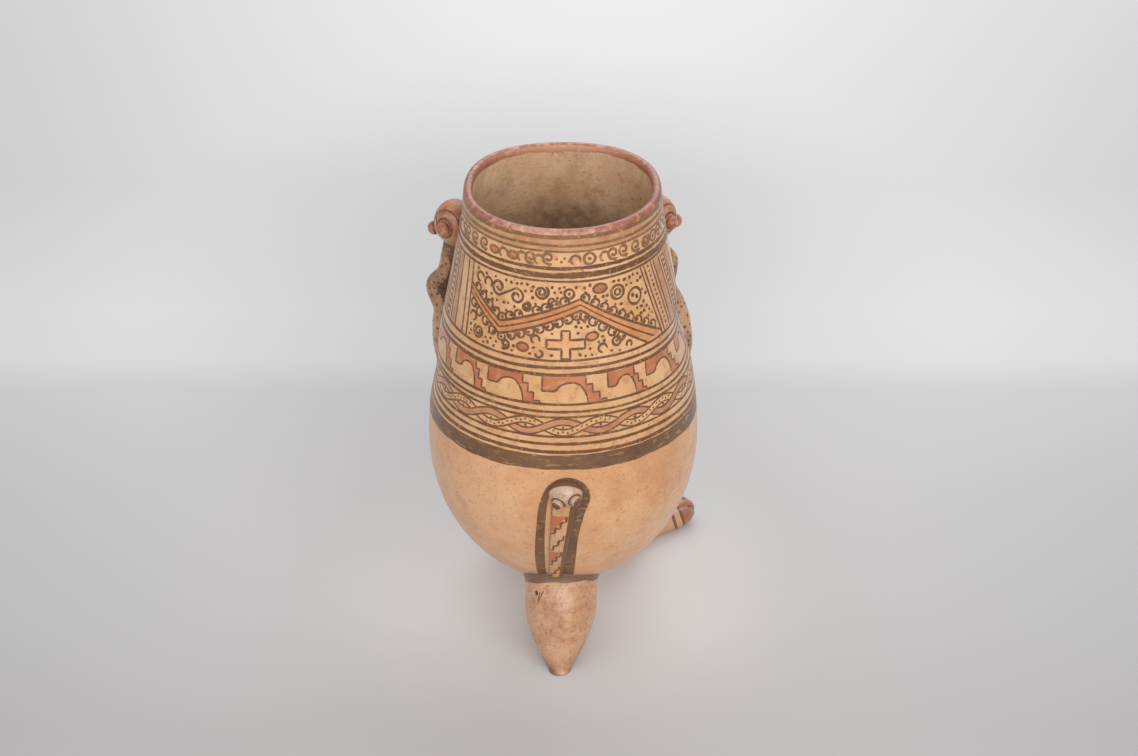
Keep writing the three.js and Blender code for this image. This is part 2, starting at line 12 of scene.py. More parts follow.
import bpy
import numpy as np
from numpy import (arange, arctan2, array, broadcast_to, clip, concatenate, cos, degrees, exp,
                   full, full_like, hypot, linspace, maximum, minimum, pi, radians, sin, sqrt,
                   stack, vstack, where, zeros)
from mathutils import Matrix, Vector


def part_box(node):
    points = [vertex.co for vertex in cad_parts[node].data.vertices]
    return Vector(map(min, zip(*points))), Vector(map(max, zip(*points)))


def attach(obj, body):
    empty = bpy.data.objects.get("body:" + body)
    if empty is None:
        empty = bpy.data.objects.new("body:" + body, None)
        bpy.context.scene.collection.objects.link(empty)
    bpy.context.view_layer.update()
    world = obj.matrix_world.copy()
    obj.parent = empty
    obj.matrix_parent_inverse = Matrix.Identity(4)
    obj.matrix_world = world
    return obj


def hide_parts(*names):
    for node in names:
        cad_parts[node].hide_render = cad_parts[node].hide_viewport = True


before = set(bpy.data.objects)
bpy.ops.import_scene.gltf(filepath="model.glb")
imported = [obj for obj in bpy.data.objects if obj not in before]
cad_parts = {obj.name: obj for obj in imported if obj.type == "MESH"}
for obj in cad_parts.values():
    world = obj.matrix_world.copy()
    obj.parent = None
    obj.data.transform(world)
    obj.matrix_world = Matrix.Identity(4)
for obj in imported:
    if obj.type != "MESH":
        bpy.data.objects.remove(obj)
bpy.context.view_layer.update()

Array = np.ndarray
Triple = tuple[float, float, float]
Rows = tuple[tuple[float, ...], ...]
Tree, Socket = bpy.types.NodeTree, bpy.types.NodeSocket
Colour = tuple[float, float, float, float] | Socket
log = logging.getLogger("feline_jar")
MM = 0.001
METRE = 1000.0
JITTER = np.random.default_rng(11)
SIDES = (("left", 1), ("right", -1))


def jar_axis() -> Array:
    """Middle of the lip in millimetres, where the jar's own axis stands."""
    low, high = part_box("rim_coil")
    return array([low.x + high.x, low.y + high.y, 0.0]) / 2 / MM


AXIS = jar_axis()


# Meshes

@dataclass
class Patch:
    """One closed surface: points, faces, the finish of each face and painted marks on its points."""

    points: Array
    quads: Array
    tris: Array
    quad_finish: Array
    tri_finish: Array
    marks: dict[str, Array] = field(default_factory=dict)

    def outward(self) -> "Patch":
        """Turn all faces round where the volume that they enclose comes out negative.

        Returns:
            The same patch. The volume is the sum of a . (b x c) over its triangles.
        """
        a, b, c = (concatenate([self.quads[:, k], self.quads[:, m], self.tris[:, n]])
                   for k, m, n in ((0, 0, 0), (1, 2, 1), (2, 3, 2)))
        p = self.points - self.points.mean(0)
        if np.einsum("ij,ij->", p[a], np.cross(p[b], p[c])) < 0:
            self.quads, self.tris = self.quads[:, ::-1], self.tris[:, ::-1]
        return self


def tube(rings: Array, closed: bool = False, row_finish: Array | None = None,
         **marks: Array) -> Patch:
    """Skin a row of closed rings with quads.

    An open row is closed at both ends by a fan to the middle of its end ring.

    Args:
        rings: Points as (rows, columns, 3), the columns once round each ring.
        closed: Whether the last ring joins the first.
        row_finish: Finish number of each row, 0 where it isn't given.
        **marks: Painted amounts from 0 to 1 as (rows, columns).

    Returns:
        The closed patch with its faces outward.
    """
    rows, cols = rings.shape[:2]
    finish = zeros(rows, int) if row_finish is None else np.asarray(row_finish)
    index = arange(rows * cols).reshape(rows, cols)
    strips = vstack([index, index[:1]]) if closed else index
    here, there = strips[:-1], strips[1:]
    quads = stack([here, np.roll(here, -1, 1), np.roll(there, -1, 1), there], -1).reshape(-1, 4)
    quad_finish = np.repeat(finish[:len(here)], cols)
    points, tris, tri_finish = rings.reshape(-1, 3), np.empty((0, 3), int), np.empty(0, int)
    painted = {name: np.asarray(value, float).ravel() for name, value in marks.items()}
    if not closed:
        points = vstack([points, rings[0].mean(0), rings[-1].mean(0)])
        foot = stack([full(cols, rows * cols), np.roll(index[0], -1), index[0]], -1)
        top = stack([full(cols, rows * cols + 1), index[-1], np.roll(index[-1], -1)], -1)
        tris, tri_finish = vstack([foot, top]), np.repeat(finish[[0, -1]], cols)
        painted = {name: np.r_[value, value[:cols].mean(), value[-cols:].mean()]
                   for name, value in painted.items()}
    return Patch(points, quads, tris, quad_finish, tri_finish, painted).outward()


def add_piece(name: str, patches: list[Patch], finishes: tuple["Finish", ...], slot: str, *nodes: str,
              smooth: bool = True) -> None:
    """Join patches into one object at the origin that rides on the jar, and log it.

    Args:
        name: Name of the piece.
        patches: Closed surfaces in the jar's own frame.
        finishes: Finishes by the patches' finish numbers.
        slot: Material slot of the record, not used.
        *nodes: CAD nodes that the piece replaces.
        smooth: Whether faces are shaded smooth.
    """
    starts = np.cumsum([0] + [len(p.points) for p in patches])
    points = vstack([p.points for p in patches])
    quads = vstack([p.quads + n for p, n in zip(patches, starts)])
    tris = vstack([p.tris + n for p, n in zip(patches, starts)])
    corners = concatenate([quads.ravel(), tris.ravel()])
    first = concatenate([arange(len(quads)) * 4, len(quads) * 4 + arange(len(tris)) * 3])
    finish = concatenate([p.quad_finish for p in patches] + [p.tri_finish for p in patches])
    mesh = bpy.data.meshes.new(name)
    mesh.vertices.add(len(points))
    mesh.vertices.foreach_set("co", ((points + AXIS) * MM).ravel())
    mesh.loops.add(len(corners))
    mesh.loops.foreach_set("vertex_index", corners.astype(np.int32))
    mesh.polygons.add(len(first))
    mesh.polygons.foreach_set("loop_start", first.astype(np.int32))
    mesh.polygons.foreach_set("material_index", finish.astype(np.int32))
    mesh.polygons.foreach_set("use_smooth", full(len(first), smooth))
    for mark in sorted({key for p in patches for key in p.marks}):
        values = concatenate([p.marks.get(mark, zeros(len(p.points))) for p in patches])
        attribute = mesh.attributes.new(mark, "FLOAT", "POINT")
        attribute.data.foreach_set("value", values.astype(np.float32))
    mesh.update(calc_edges=True)
    mesh.validate()
    for kind in finishes:
        mesh.materials.append(kind.material())
    piece = bpy.data.objects.new(name, mesh)
    bpy.context.scene.collection.objects.link(piece)
    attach(piece, "jar")
    if nodes:
        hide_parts(*nodes)
    log.info("%s: %d faces", piece.name, len(piece.data.polygons))


# Curves

def circle(count: int) -> Array:
    """Angles of evenly spaced points once round a circle, from 0."""
    return arange(count) * 2 * pi / count


def unit(vectors: Array) -> Array:
    """Vectors brought to length 1."""
    return vectors / np.linalg.norm(vectors, axis=-1, keepdims=True)


def heading(azimuth: float, elevation: float = 0.0) -> Array:
    """Unit vector at an azimuth and an elevation in degrees."""
    turn, lift = radians(azimuth), radians(elevation)
    level = cos(lift)
    return array([cos(turn) * level, sin(turn) * level, sin(lift)])


def ramp(value: Array, low: float, high: float) -> Array:
    """Smooth rise from 0 at low to 1 at high, 3t^2 - 2t^3 between them."""
    t = clip((value - low) / (high - low), 0.0, 1.0)
    return t * t * (3.0 - 2.0 * t)


def bell(value: Array, width: float) -> Array:
    """Bell curve exp(-(value / width)^2)."""
    return exp(-(value / width) ** 2)


def band(value: Array, middle: float, outer: float, inner: float) -> Array:
    """Band about a middle: 1 within the inner distance, falling smoothly to 0 at the outer one."""
    return ramp(abs(value - middle), outer, inner)


def smooth_path(knots: Array, count: int) -> Array:
    """Catmull-Rom curve through knots, evenly spaced in knot number.

    Between knots b and c the point is half of 2b + (c - a)t + (2a - 5b + 4c - d)t^2
    + (3b - a - 3c + d)t^3.

    Args:
        knots: Points as (n, k).
        count: Number of points on the curve.

    Returns:
        Points as (count, k).
    """
    padded = vstack([2 * knots[0] - knots[1], knots, 2 * knots[-1] - knots[-2]])
    place = linspace(0, len(knots) - 1, count)
    i = minimum(place.astype(int), len(knots) - 2)
    t = (place - i)[:, None]
    a, b, c, d = (padded[i + k] for k in range(4))
    return 0.5 * (2 * b + (c - a) * t + (2 * a - 5 * b + 4 * c - d) * t**2
                  + (3 * b - a - 3 * c + d) * t**3)


def ball(centre: Array, radii: Array, rows: int = 28, cols: int = 40) -> Array:
    """Rings of an ellipsoid: centre + radii * (sin v cos u, sin v sin u, cos v), pole up.

    Args:
        centre: Middle of the ellipsoid.
        radii: Half sizes along X, Y and Z.
        rows: Rings from pole to pole.
        cols: Points round each ring.

    Returns:
        Points as (rows, cols, 3).
    """
    pole = 0.03
    v, u = np.meshgrid(linspace(pole, pi - pole, rows), circle(cols), indexing="ij")
    out = stack([sin(v) * cos(u), sin(v) * sin(u), cos(v)], -1)
    return centre + out * radii


def angle_from(out: Array, way: Array) -> Array:
    """Angle in degrees between each of the vectors and one unit vector."""
    return degrees(np.arccos(clip(out @ way / np.linalg.norm(out, axis=-1), -1, 1)))


# Finishes

def linear(hex_colour: str) -> tuple[float, float, float, float]:
    """Turn an sRGB hex colour into linear RGBA."""
    srgb = np.frombuffer(bytes.fromhex(hex_colour), np.uint8) / 255.0
    rgb = where(srgb > 0.04045, ((srgb + 0.055) / 1.055) ** 2.4, srgb / 12.92)
    return (*rgb.tolist(), 1.0)


def add_node(tree: Tree, kind: str, inputs: dict[Any, Any] | None = None,
             **settings: Any) -> bpy.types.Node:
    """Add a node, set its properties and fill or link its inputs.

    Args:
        tree: The material's nodes.
        kind: Type of the node without its common beginning.
        inputs: Values, sockets or nodes (first output) by input name or number.
        **settings: Properties of the node.

    Returns:
        The new node.
    """
    made = tree.nodes.new("ShaderNode" + kind)
    for key, value in settings.items():
        setattr(made, key, value)
    for key, value in (inputs or {}).items():
        if isinstance(value, (Socket, bpy.types.Node)):
            tree.links.new(getattr(value, "outputs", [value])[0], made.inputs[key])
        else:
            made.inputs[key].default_value = value
    return made


@dataclass(frozen=True)
class Mark:
    """A painted amount on a piece's points and the slip it stands for.

    Without a stain the slip has a brushed edge. A stain has none: it covers from its even share,
    where the wear is heaviest, to its full share.
    """

    attribute: str
    colour: str
    stain: float = 0.0
    even: float = 0.0

    def amount(self, tree: Tree, worn: Socket) -> bpy.types.Node:
        """Work out how much of the slip lies at each point.

        Args:
            tree: The material's nodes.
            worn: Noise that breaks the mark up.

        Returns:
            Node whose first output is the amount.
        """
        painted = add_node(tree, "Attribute", attribute_name=self.attribute).outputs["Fac"]
        if self.stain > 0.0:
            faint = add_node(tree, "MapRange", {
                "Value": worn, "From Min": 0.35, "From Max": 0.7,
                "To Min": self.even, "To Max": self.stain})
            return add_node(tree, "Math", {0: faint, 1: painted}, operation="MULTIPLY")
        edge = add_node(tree, "Math", {0: worn, 1: 0.5, 2: painted}, operation="MULTIPLY_ADD")
        limits = {"Value": edge, "From Min": 0.62, "From Max": 0.82, "To Max": 0.93}
        return add_node(tree, "MapRange", limits, interpolation_type="SMOOTHSTEP")


@dataclass(frozen=True)
class Ware:
    """Low-fired clay or slip rubbed with a pebble before an open firing.

    It gives the eye a soft, uneven sheen with fine level rubbing streaks, cloudy warm and pale
    areas from the fire, small dark pits of temper, and places worn through to the clay. The grain
    of bare clay is drawn about twice as coarse as it is, so that it shows.
    """

    name: str
    base: str
    light: str
    fired: str
    clay: str = "D6A57A"
    pit: str = "6E4C34"
    spot: str = "643C1D"
    cloud_mm: float = 46.0
    streak_mm: float = 1.5
    streak_length: float = 7.0
    pit_mm: float = 2.4
    grain_mm: float = 0.9
    worn_mm: float = 7.0
    spot_mm: float = 0.0
    worn_stretch: float = 1.0
    fire_share: float = 0.55
    mottle_share: float = 0.45
    streak_share: float = 0.42
    grain_share: float = 0.35
    fleck_share: float = 0.0
    pit_share: float = 0.55
    worn_share: float = 0.0
    rough: tuple[float, float] = (0.31, 0.50)
    coat: float = 0.45
    coat_rough: float = 0.24
    ior: float = 1.5
    relief_mm: float = 0.10
    marks: tuple[Mark, ...] = ()

    def noises(self, tree: Tree, place: Socket) -> dict[str, Socket]:
        """Noise patterns, each scaled from its size in millimetres.

        Args:
            tree: The material's nodes.
            place: Object coordinates.

        Returns:
            Output sockets by the pattern's name.
        """
        level = add_node(tree, "Mapping", {"Vector": place, "Scale": (1.0, 1.0, self.streak_length)})
        apart = add_node(tree, "Mapping", {"Vector": place, "Location": (0.31, 0.17, 0.53)})
        rubbed = add_node(tree, "Mapping", {"Vector": apart, "Scale": (1.0, 1.0, self.worn_stretch)})
        kinds = {"cloud": (place, self.cloud_mm, 4.0), "fire": (apart, self.cloud_mm * 1.4, 5.0),
                 "streak": (level, self.streak_mm * self.streak_length, 3.0),
                 "pit": (place, self.pit_mm, 1.0), "worn": (rubbed, self.worn_mm, 8.0),
                 "grain": (place, self.grain_mm, 2.0), "mottle": (apart, self.cloud_mm * 0.22, 6.0)}
        return {key: add_node(tree, "TexNoise", {
            "Vector": vector, "Scale": METRE / size, "Detail": detail, "Roughness": 0.6}).outputs[0]
            for key, (vector, size, detail) in kinds.items()}

    def layers(self, tree: Tree, place: Socket, noise: dict[str, Socket]) -> list[tuple[Any, str]]:
        """Work out the layers over the base colour.

        Args:
            tree: The material's nodes.
            place: Object coordinates.
            noise: Noise patterns by name.

        Returns:
            Node of the amount and hex colour of each layer, from the lowest up.
        """
        # Noise, where its layer starts and where it is full, colour and share.
        table = (
            ("cloud", 0.38, 0.62, self.light, 1.0), ("fire", 0.50, 0.72, self.fired, self.fire_share),
            ("streak", 0.54, 0.74, self.fired, self.streak_share),
            ("grain", 0.58, 0.75, self.light, self.grain_share),
            ("grain", 0.44, 0.30, self.fired, self.fleck_share),
            ("mottle", 0.52, 0.68, self.fired, self.mottle_share),
            ("mottle", 0.46, 0.34, self.light, self.mottle_share),
            ("pit", 0.69, 0.74, self.pit, self.pit_share),
            ("worn", 0.55, 0.64, self.clay, self.worn_share))
        laid = []
        for key, low, high, over, share in table:
            if share > 0.0:
                limits = {"Value": noise[key], "From Min": low, "From Max": high, "To Max": share}
                amount = add_node(tree, "MapRange", limits, interpolation_type="SMOOTHSTEP")
                laid.append((amount, over))
        if self.spot_mm > 0.0:
            cell = add_node(tree, "TexVoronoi", {
                "Vector": place, "Scale": METRE / self.spot_mm, "Randomness": 0.75}).outputs["Distance"]
            dab = add_node(tree, "MapRange", {
                "Value": cell, "From Min": 0.34, "From Max": 0.24, "To Max": 0.9})
            pelt = add_node(tree, "Attribute", attribute_name="pelt").outputs["Fac"]
            laid.append((add_node(tree, "Math", {0: dab, 1: pelt}, operation="MULTIPLY"), self.spot))
        return laid + [(mark.amount(tree, noise["worn"]), mark.colour) for mark in self.marks]

    def material(self) -> bpy.types.Material:
        """Build the material on Object coordinates.

        Returns:
            The new material.
        """
        made = bpy.data.materials.new(self.name)
        made.use_nodes = True
        tree = made.node_tree
        place = add_node(tree, "TexCoord").outputs["Object"]
        noise = self.noises(tree, place)
        colour: Colour = linear(self.base)
        for amount, over in self.layers(tree, place, noise):
            colour = add_node(tree, "Mix", {0: amount, 6: colour, 7: linear(over)},
                              data_type="RGBA").outputs[2]
        smooth, dull = self.rough
        sheen = add_node(tree, "MapRange", {
            "Value": noise["streak"], "From Min": 0.3, "From Max": 0.7, "To Min": smooth, "To Max": dull})
        height = add_node(tree, "Math", {0: noise["grain"], 1: 0.5, 2: noise["streak"]},
                          operation="MULTIPLY_ADD")
        bump = add_node(tree, "Bump", {
            "Strength": 0.55, "Distance": self.relief_mm * MM, "Height": height})
        shader = tree.nodes["Principled BSDF"]
        tree.links.new(colour, shader.inputs["Base Color"])
        tree.links.new(sheen.outputs[0], shader.inputs["Roughness"])
        tree.links.new(bump.outputs[0], shader.inputs["Normal"])
        shader.inputs["IOR"].default_value = self.ior
        shader.inputs["Coat Weight"].default_value = self.coat
        shader.inputs["Coat Roughness"].default_value = self.coat_rough
        return made


DARK_BROWN = Ware.spot
COARSE = {"grain_mm": 1.9, "grain_share": 0.75, "fleck_share": 0.6}


class Finish(Enum):
    """The clays and slips on the vessel: base, light and fired colour of each, and its wear."""

    # Bare body clay of the bowl: warm and even, finely speckled, with faint clouds.
    BUFF = Ware("burnished_buff_earthenware", "D59C6C", "E1AF81", "C28354",
                fire_share=0.40, mottle_share=0.32, pit_share=0.4, **COARSE)
    # The same clay nearer to the fire: pinker, blotched and pitted, dark at collar and tip, with painted
    # shade in the vent pit.
    LEG = Ware("fire_clouded_buff_earthenware", "BE8A63", "CC9F7B", "9C5D37",
               fire_share=0.75, cloud_mm=24.0, pit_share=0.7, **COARSE,
               marks=(Mark("collar", "6E4E38"), Mark("soot", "2A1D14"), Mark("tip", "7A5A46", 1.3)))
    # Ground of the painted wall: glossy yellowish cream, rubbed through to orange.
    CREAM = Ware("burnished_cream_slip", "D8A36D", "E4B585", "C38454",
                 worn_share=0.55, clay="BE7C4C", worn_mm=6.0)
    # Iron-red slip of feet and tongue: deep and glossy, with pale and dark bands.
    RED = Ware("burnished_red_iron_slip", "A46348", "B5785A", "884D37",
               worn_share=0.45, clay="CB9168", worn_mm=6.0,
               marks=(Mark("pale", "CB9C76"), Mark("stripe", "67432C")))
    # Thin slips of the painting: flat tints through which the ground shows in places.
    BRICK = Ware("thin_brick_red_slip", "B9683F", "C67E50", "A45536",
                 worn_share=0.45, clay="D29A6A", cloud_mm=18.0)
    ORANGE = Ware("thin_orange_slip", "CB7F49", "D6935B", "B86B3C",
                  worn_share=0.40, clay="DBA873", cloud_mm=16.0)
    WASH = Ware("thin_ochre_wash", "DA9C61", "E3AD78", "C68850",
                worn_share=0.4, clay="DFAE80", cloud_mm=12.0)
    ROSE = Ware("rubbed_rose_brown_slip", "B97C52", "C68E64", "A36441",
                worn_share=0.45, clay="CF9E72", cloud_mm=16.0)
    NECK = Ware("rubbed_ochre_wash", "BE875A", "CC996B", "A87048",
                worn_share=0.6, clay="D8A36D", cloud_mm=18.0)
    # Dark line slips: duller than the ground and broken by wear, the rubbed one browner.
    DARK = Ware("worn_dark_brown_slip", DARK_BROWN, "734926", "845832", worn_share=0.70,
                clay="B0804F", cloud_mm=14.0, worn_mm=2.6, pit_share=0.0, rough=(0.42, 0.60))
    FADED = Ware("rubbed_brown_slip", "7A5230", "8C623C", "986C43", worn_share=0.75,
                 clay="C0925F", cloud_mm=12.0, worn_mm=3.0, pit_share=0.0, rough=(0.40, 0.58))
    # Broad dark band: greyer, worn in long level scratches.
    BELLY = Ware("worn_umber_slip", "634126", "74502F", "845B36", worn_share=0.70,
                 clay="B0824F", cloud_mm=16.0, worn_mm=9.0, worn_stretch=3.5, pit_share=0.0,
                 rough=(0.36, 0.54))
    # Inside, wiped and not rubbed: dull pale clay with smudges; the deep mark is painted shade that
    # darkens the depth, and the rubbed mark paints a highlight over wear on the front's inner lip
    # shoulder.
    INSIDE = Ware("wiped_bare_clay", "D3AC87", "DFBE9B", "B18A65", fire_share=0.6,
                  grain_mm=1.9, grain_share=0.6, fleck_share=0.5, rough=(0.62, 0.82),
                  coat=0.0, cloud_mm=30.0, relief_mm=0.2,
                  marks=(Mark("smudge", "8A6646", 0.75), Mark("deep", "553A27", 0.85, 0.4),
                         Mark("red", "96553A"), Mark("rubbed", "D9A183", 1.3)))
    # Red of the lip: glossy, chipped to orange and rubbed pale where hands and rims touch it; the rubbed
    # mark also paints a highlight on the shoulders that face the light.
    LIP = Ware("red_slip_over_lip", "8E4A33", "A05E43", "743826", worn_share=0.8,
               clay="C4844F", worn_mm=5.0, cloud_mm=22.0,
               marks=(Mark("pale", "D8A36D"), Mark("rubbed", "D9A183", 1.5)))
    # Head and arms: body clay dabbed with dark spots, the arms smokier, with painted shade on the web in
    # each arm's inner bend.
    PELT = Ware("spotted_buff_earthenware", "C4946A", "D2A67C", "A87045", spot_mm=3.7,
                marks=(Mark("line", DARK_BROWN), Mark("red", "A9573A"), Mark("gum", "7A3B2A")))
    ARM = Ware("speckled_brown_earthenware", "B48861", "C49B75", "8A623C", spot_mm=4.0,
               fire_share=0.8, cloud_mm=20.0,
               marks=(Mark("shade", "6E5038", 1.3), Mark("crook", "4A3220")))
    # Paws: orange-red slip, thin and blotchy, with dark lines.
    PAW = Ware("painted_orange_red_slip", "AE6546", "C08862", "85492F", worn_share=0.8,
               clay="C69C78", fire_share=0.8, cloud_mm=8.0, worn_mm=6.0,
               marks=(Mark("pale", "C1926A"), Mark("line", DARK_BROWN)))
    # Tail and eyes: cream slip worn to brown, with dark and red paint.
    TAIL = Ware("worn_cream_slip_on_tail", "CA9869", "D6AA7C", "AC7A50", worn_share=0.5,
                clay="BC8458", cloud_mm=12.0, worn_mm=5.0,
                marks=(Mark("line", DARK_BROWN), Mark("red", "B4683F")))
    # Knob: slip rubbed to a pinkish grey bloom.
    KNOB = Ware("rubbed_pink_grey_slip", "C09C7F", "CDB097", "A07A60", worn_share=0.6,
                clay="B38460", cloud_mm=9.0, worn_mm=4.0, marks=(Mark("line", DARK_BROWN),))
    # Loose pellets: rough bare clay without any sheen.
    RATTLE = Ware("bare_rattle_clay", "B98A62", "C79A72", "9C6F4B", rough=(0.75, 0.9), coat=0.0)

    def material(self) -> bpy.types.Material:
        """The finish's material, built once."""
        return bpy.data.materials.get(self.value.name) or self.value.material()


# Jar

@dataclass
class Jar:
    """Pear-shaped jar: a bowl, an upper wall luted on it and a coil that makes the lip."""

    height: float = 325.0
    rim_radius: float = 63.5
    belly_radius: float = 89.5
    belly_height: float = 145.0
    base_depth: float = 106.0
    wall: float = 6.0
    lip_taper: float = 0.09
    seam: float = 172.0
    lip_foot: float = 316.0
    crease: float = 0.2
    unevenness: float = 0.25
    # Waves of the hand: share, times round, climb in millimetres and phase.
    waves: Rows = ((1.0, 2, 70.0, 0.6), (0.6, 3, -48.0, 2.0), (0.4, 5, 29.0, 0.0))
    wave_foot: float = 45.0
    wave_full: float = 105.0
    pull_foot: float = 258.0
    front_pull: float = 2.6
    corner_pull: float = 3.2
    back_swell: float = 0.9
    # Dents beside the arms: azimuth, height, spread up the wall and depth.
    dents: Rows = ((178.0, 229.0, 20.0, 3.6), (2.0, 192.0, 16.0, 2.2))
    dent_width: float = 24.0
    # Smudges on the far inside: azimuth, height, width in degrees and rise.
    smudges: Rows = ((284.0, 284.0, 9.0, 6.0), (255.0, 282.0, 8.0, 10.0))
    segments: int = 300

    def radius(self, z: Array) -> Array:
        """Outside radius: half an ellipse up to the belly, above it a smooth step in to the lip.

        With t from 0 at the belly to 1 at the lip the step is 3t^2 - 2t^3, and the lip's taper adds
        a share of t^2 - t^3.

        Args:
            z: Height.

        Returns:
            Radius in the same shape.
        """
        z = np.asarray(z, float)
        fall = clip((self.belly_height - z) / self.base_depth, 0.0, 1.0)
        rise = self.height - self.belly_height
        t = clip((z - self.belly_height) / rise, 0.0, 1.05)
        above = ((self.rim_radius - self.belly_radius) * t * t * (3 - 2 * t)
                 + self.lip_taper * rise * (t * t - t**3))
        below = self.belly_radius * sqrt(1 - fall**2)
        return where(z <= self.belly_height, below, self.belly_radius + above)

    def hand(self, azimuth: Array, z: Array) -> Array:
        """Unevenness of hand building: slow waves round and up the wall, dying out at the base.

        Towards the lip the front half is drawn out as well, most at half a right angle to each side.
        Beside each arm the wall is pressed in: depth * exp(-(turn / width)^2 - (rise / spread)^2).

        Args:
            azimuth: Azimuth in radians.
            z: Height.

        Returns:
            Change of the radius.
        """
        waves = sum(share * sin(times * azimuth + z / climb + phase)
                    for share, times, climb, phase in self.waves)
        ahead = maximum(-sin(azimuth), 0.0)
        corner = self.corner_pull * sin(2 * azimuth) ** 2 * (ahead > 0)
        drawn = (self.front_pull * ahead**1.3 + corner) * ramp(z, self.pull_foot, self.height)
        for turn, middle, spread, depth in self.dents:
            off = (degrees(azimuth) - turn + 180.0) % 360.0 - 180.0
            drawn = drawn - depth * bell(off, self.dent_width) * bell(z - middle, spread)
        grown = clip((z - self.wave_foot) / (self.wave_full - self.wave_foot), 0.0, 1.0)
        return self.unevenness * waves * grown + drawn

    def point(self, azimuth: Array, z: Array, lift: Array | float = 0.0) -> Array:
        """Points on the outside at an azimuth in radians and a height, moved out by lift."""
        reach = self.radius(z) + self.hand(azimuth, z) + lift
        return stack(np.broadcast_arrays(reach * cos(azimuth), reach * sin(azimuth), z), -1)

    def press(self, points: Array, depth: float = 2.5) -> Array:
        """Points, with those deeper in the wall than a depth pushed straight out to that depth."""
        reach = hypot(points[..., 0], points[..., 1])
        least = self.radius(points[..., 2]) - depth
        grow = maximum(1.0, least / maximum(reach, 1e-6))
        return points * stack([grow, grow, np.ones_like(grow)], -1)

    def clearance(self, points: Array) -> Array:
        """Distance of points outside the bowl, along the line from the middle of its ellipse."""
        away = points - array([0.0, 0.0, self.belly_height])
        share = hypot(hypot(away[..., 0], away[..., 1]) / self.belly_radius,
                      away[..., 2] / self.base_depth)
        return np.linalg.norm(away, axis=-1) * (1 - 1 / maximum(share, 1e-6))

    def turned(self, reach: Array, z: Array) -> Array:
        """Rings of a profile carried round the axis, with the hand's unevenness off the base's middle.

        Args:
            reach: Radius of each row.
            z: Height of each row.

        Returns:
            Points as (rows, segments, 3).
        """
        azimuth, height = np.broadcast_arrays(circle(self.segments)[None, :], z[:, None])
        uneven = where(reach[:, None] > 30, self.hand(azimuth, height), 0.0)
        out = reach[:, None] + uneven
        return stack([out * cos(azimuth), out * sin(azimuth), height], -1)

    def build_bowl(self) -> None:
        """Make the bowl: half an ellipse outside and inside, with a short upright wall to the seam."""
        a = linspace(-pi / 2 + 0.006, 0, 60)
        up = np.r_[linspace(self.belly_height, self.seam - self.crease, 10)[1:], self.seam]
        deep, wide = self.base_depth - self.wall, self.belly_radius - self.wall
        reach = np.r_[self.belly_radius * cos(a), self.radius(up),
                      self.radius(up[::-1]) - self.wall, wide * cos(a[::-1])]
        z = np.r_[self.belly_height + self.base_depth * sin(a), up,
                  up[::-1], self.belly_height + deep * sin(a[::-1])]
        rings = self.turned(reach, z)
        side = np.repeat([0, 1], len(z) // 2)
        # Painted shade: the deep mark darkens the whole inside of the bowl.
        patch = tube(rings, row_finish=side, deep=full(rings.shape[:2], 0.6))
        finishes = (Finish.BUFF, Finish.INSIDE)
        add_piece("jar_bowl", [patch], finishes, "buff_clay", "jar_lower_bowl")

    def build_wall(self) -> None:
        """Make the upper wall, smudged inside, with painted shade darkening the depth at the front and
        the sides below the lip.
        """
        z = np.r_[self.seam, linspace(self.seam + self.crease, self.lip_foot - self.crease, 60),
                  self.lip_foot]
        side = np.repeat([0, 1], len(z))
        rings = self.turned(np.r_[self.radius(z), self.radius(z[::-1]) - self.wall], np.r_[z, z[::-1]])
        turn = degrees(arctan2(rings[..., 1], rings[..., 0])) % 360
        z = rings[..., 2]
        smudge = sum(bell(turn - at, wide) * bell(z - level, rise)
                     for at, level, wide, rise in self.smudges)
        # Painted shade: low darkens the depth at the front, flank the sides below the lip, and deep
        # carries both.
        low = bell(turn - 268.0, 38.0) * ramp(z, 285.0, 272.0)
        flank = ramp(abs(turn - 270.0), 22.0, 42.0) * ramp(z, 314.0, 296.0)
        deep = 0.85 * low + where(turn > 270.0, 0.34, 0.22) * flank * (1 - low)
        patch = tube(rings, True, side, smudge=0.8 * clip(smudge, 0, 1), deep=deep)
        finishes = (Finish.CREAM, Finish.INSIDE)
        add_piece("jar_upper_wall_painted", [patch], finishes, "painted_wall", "jar_upper_wall")

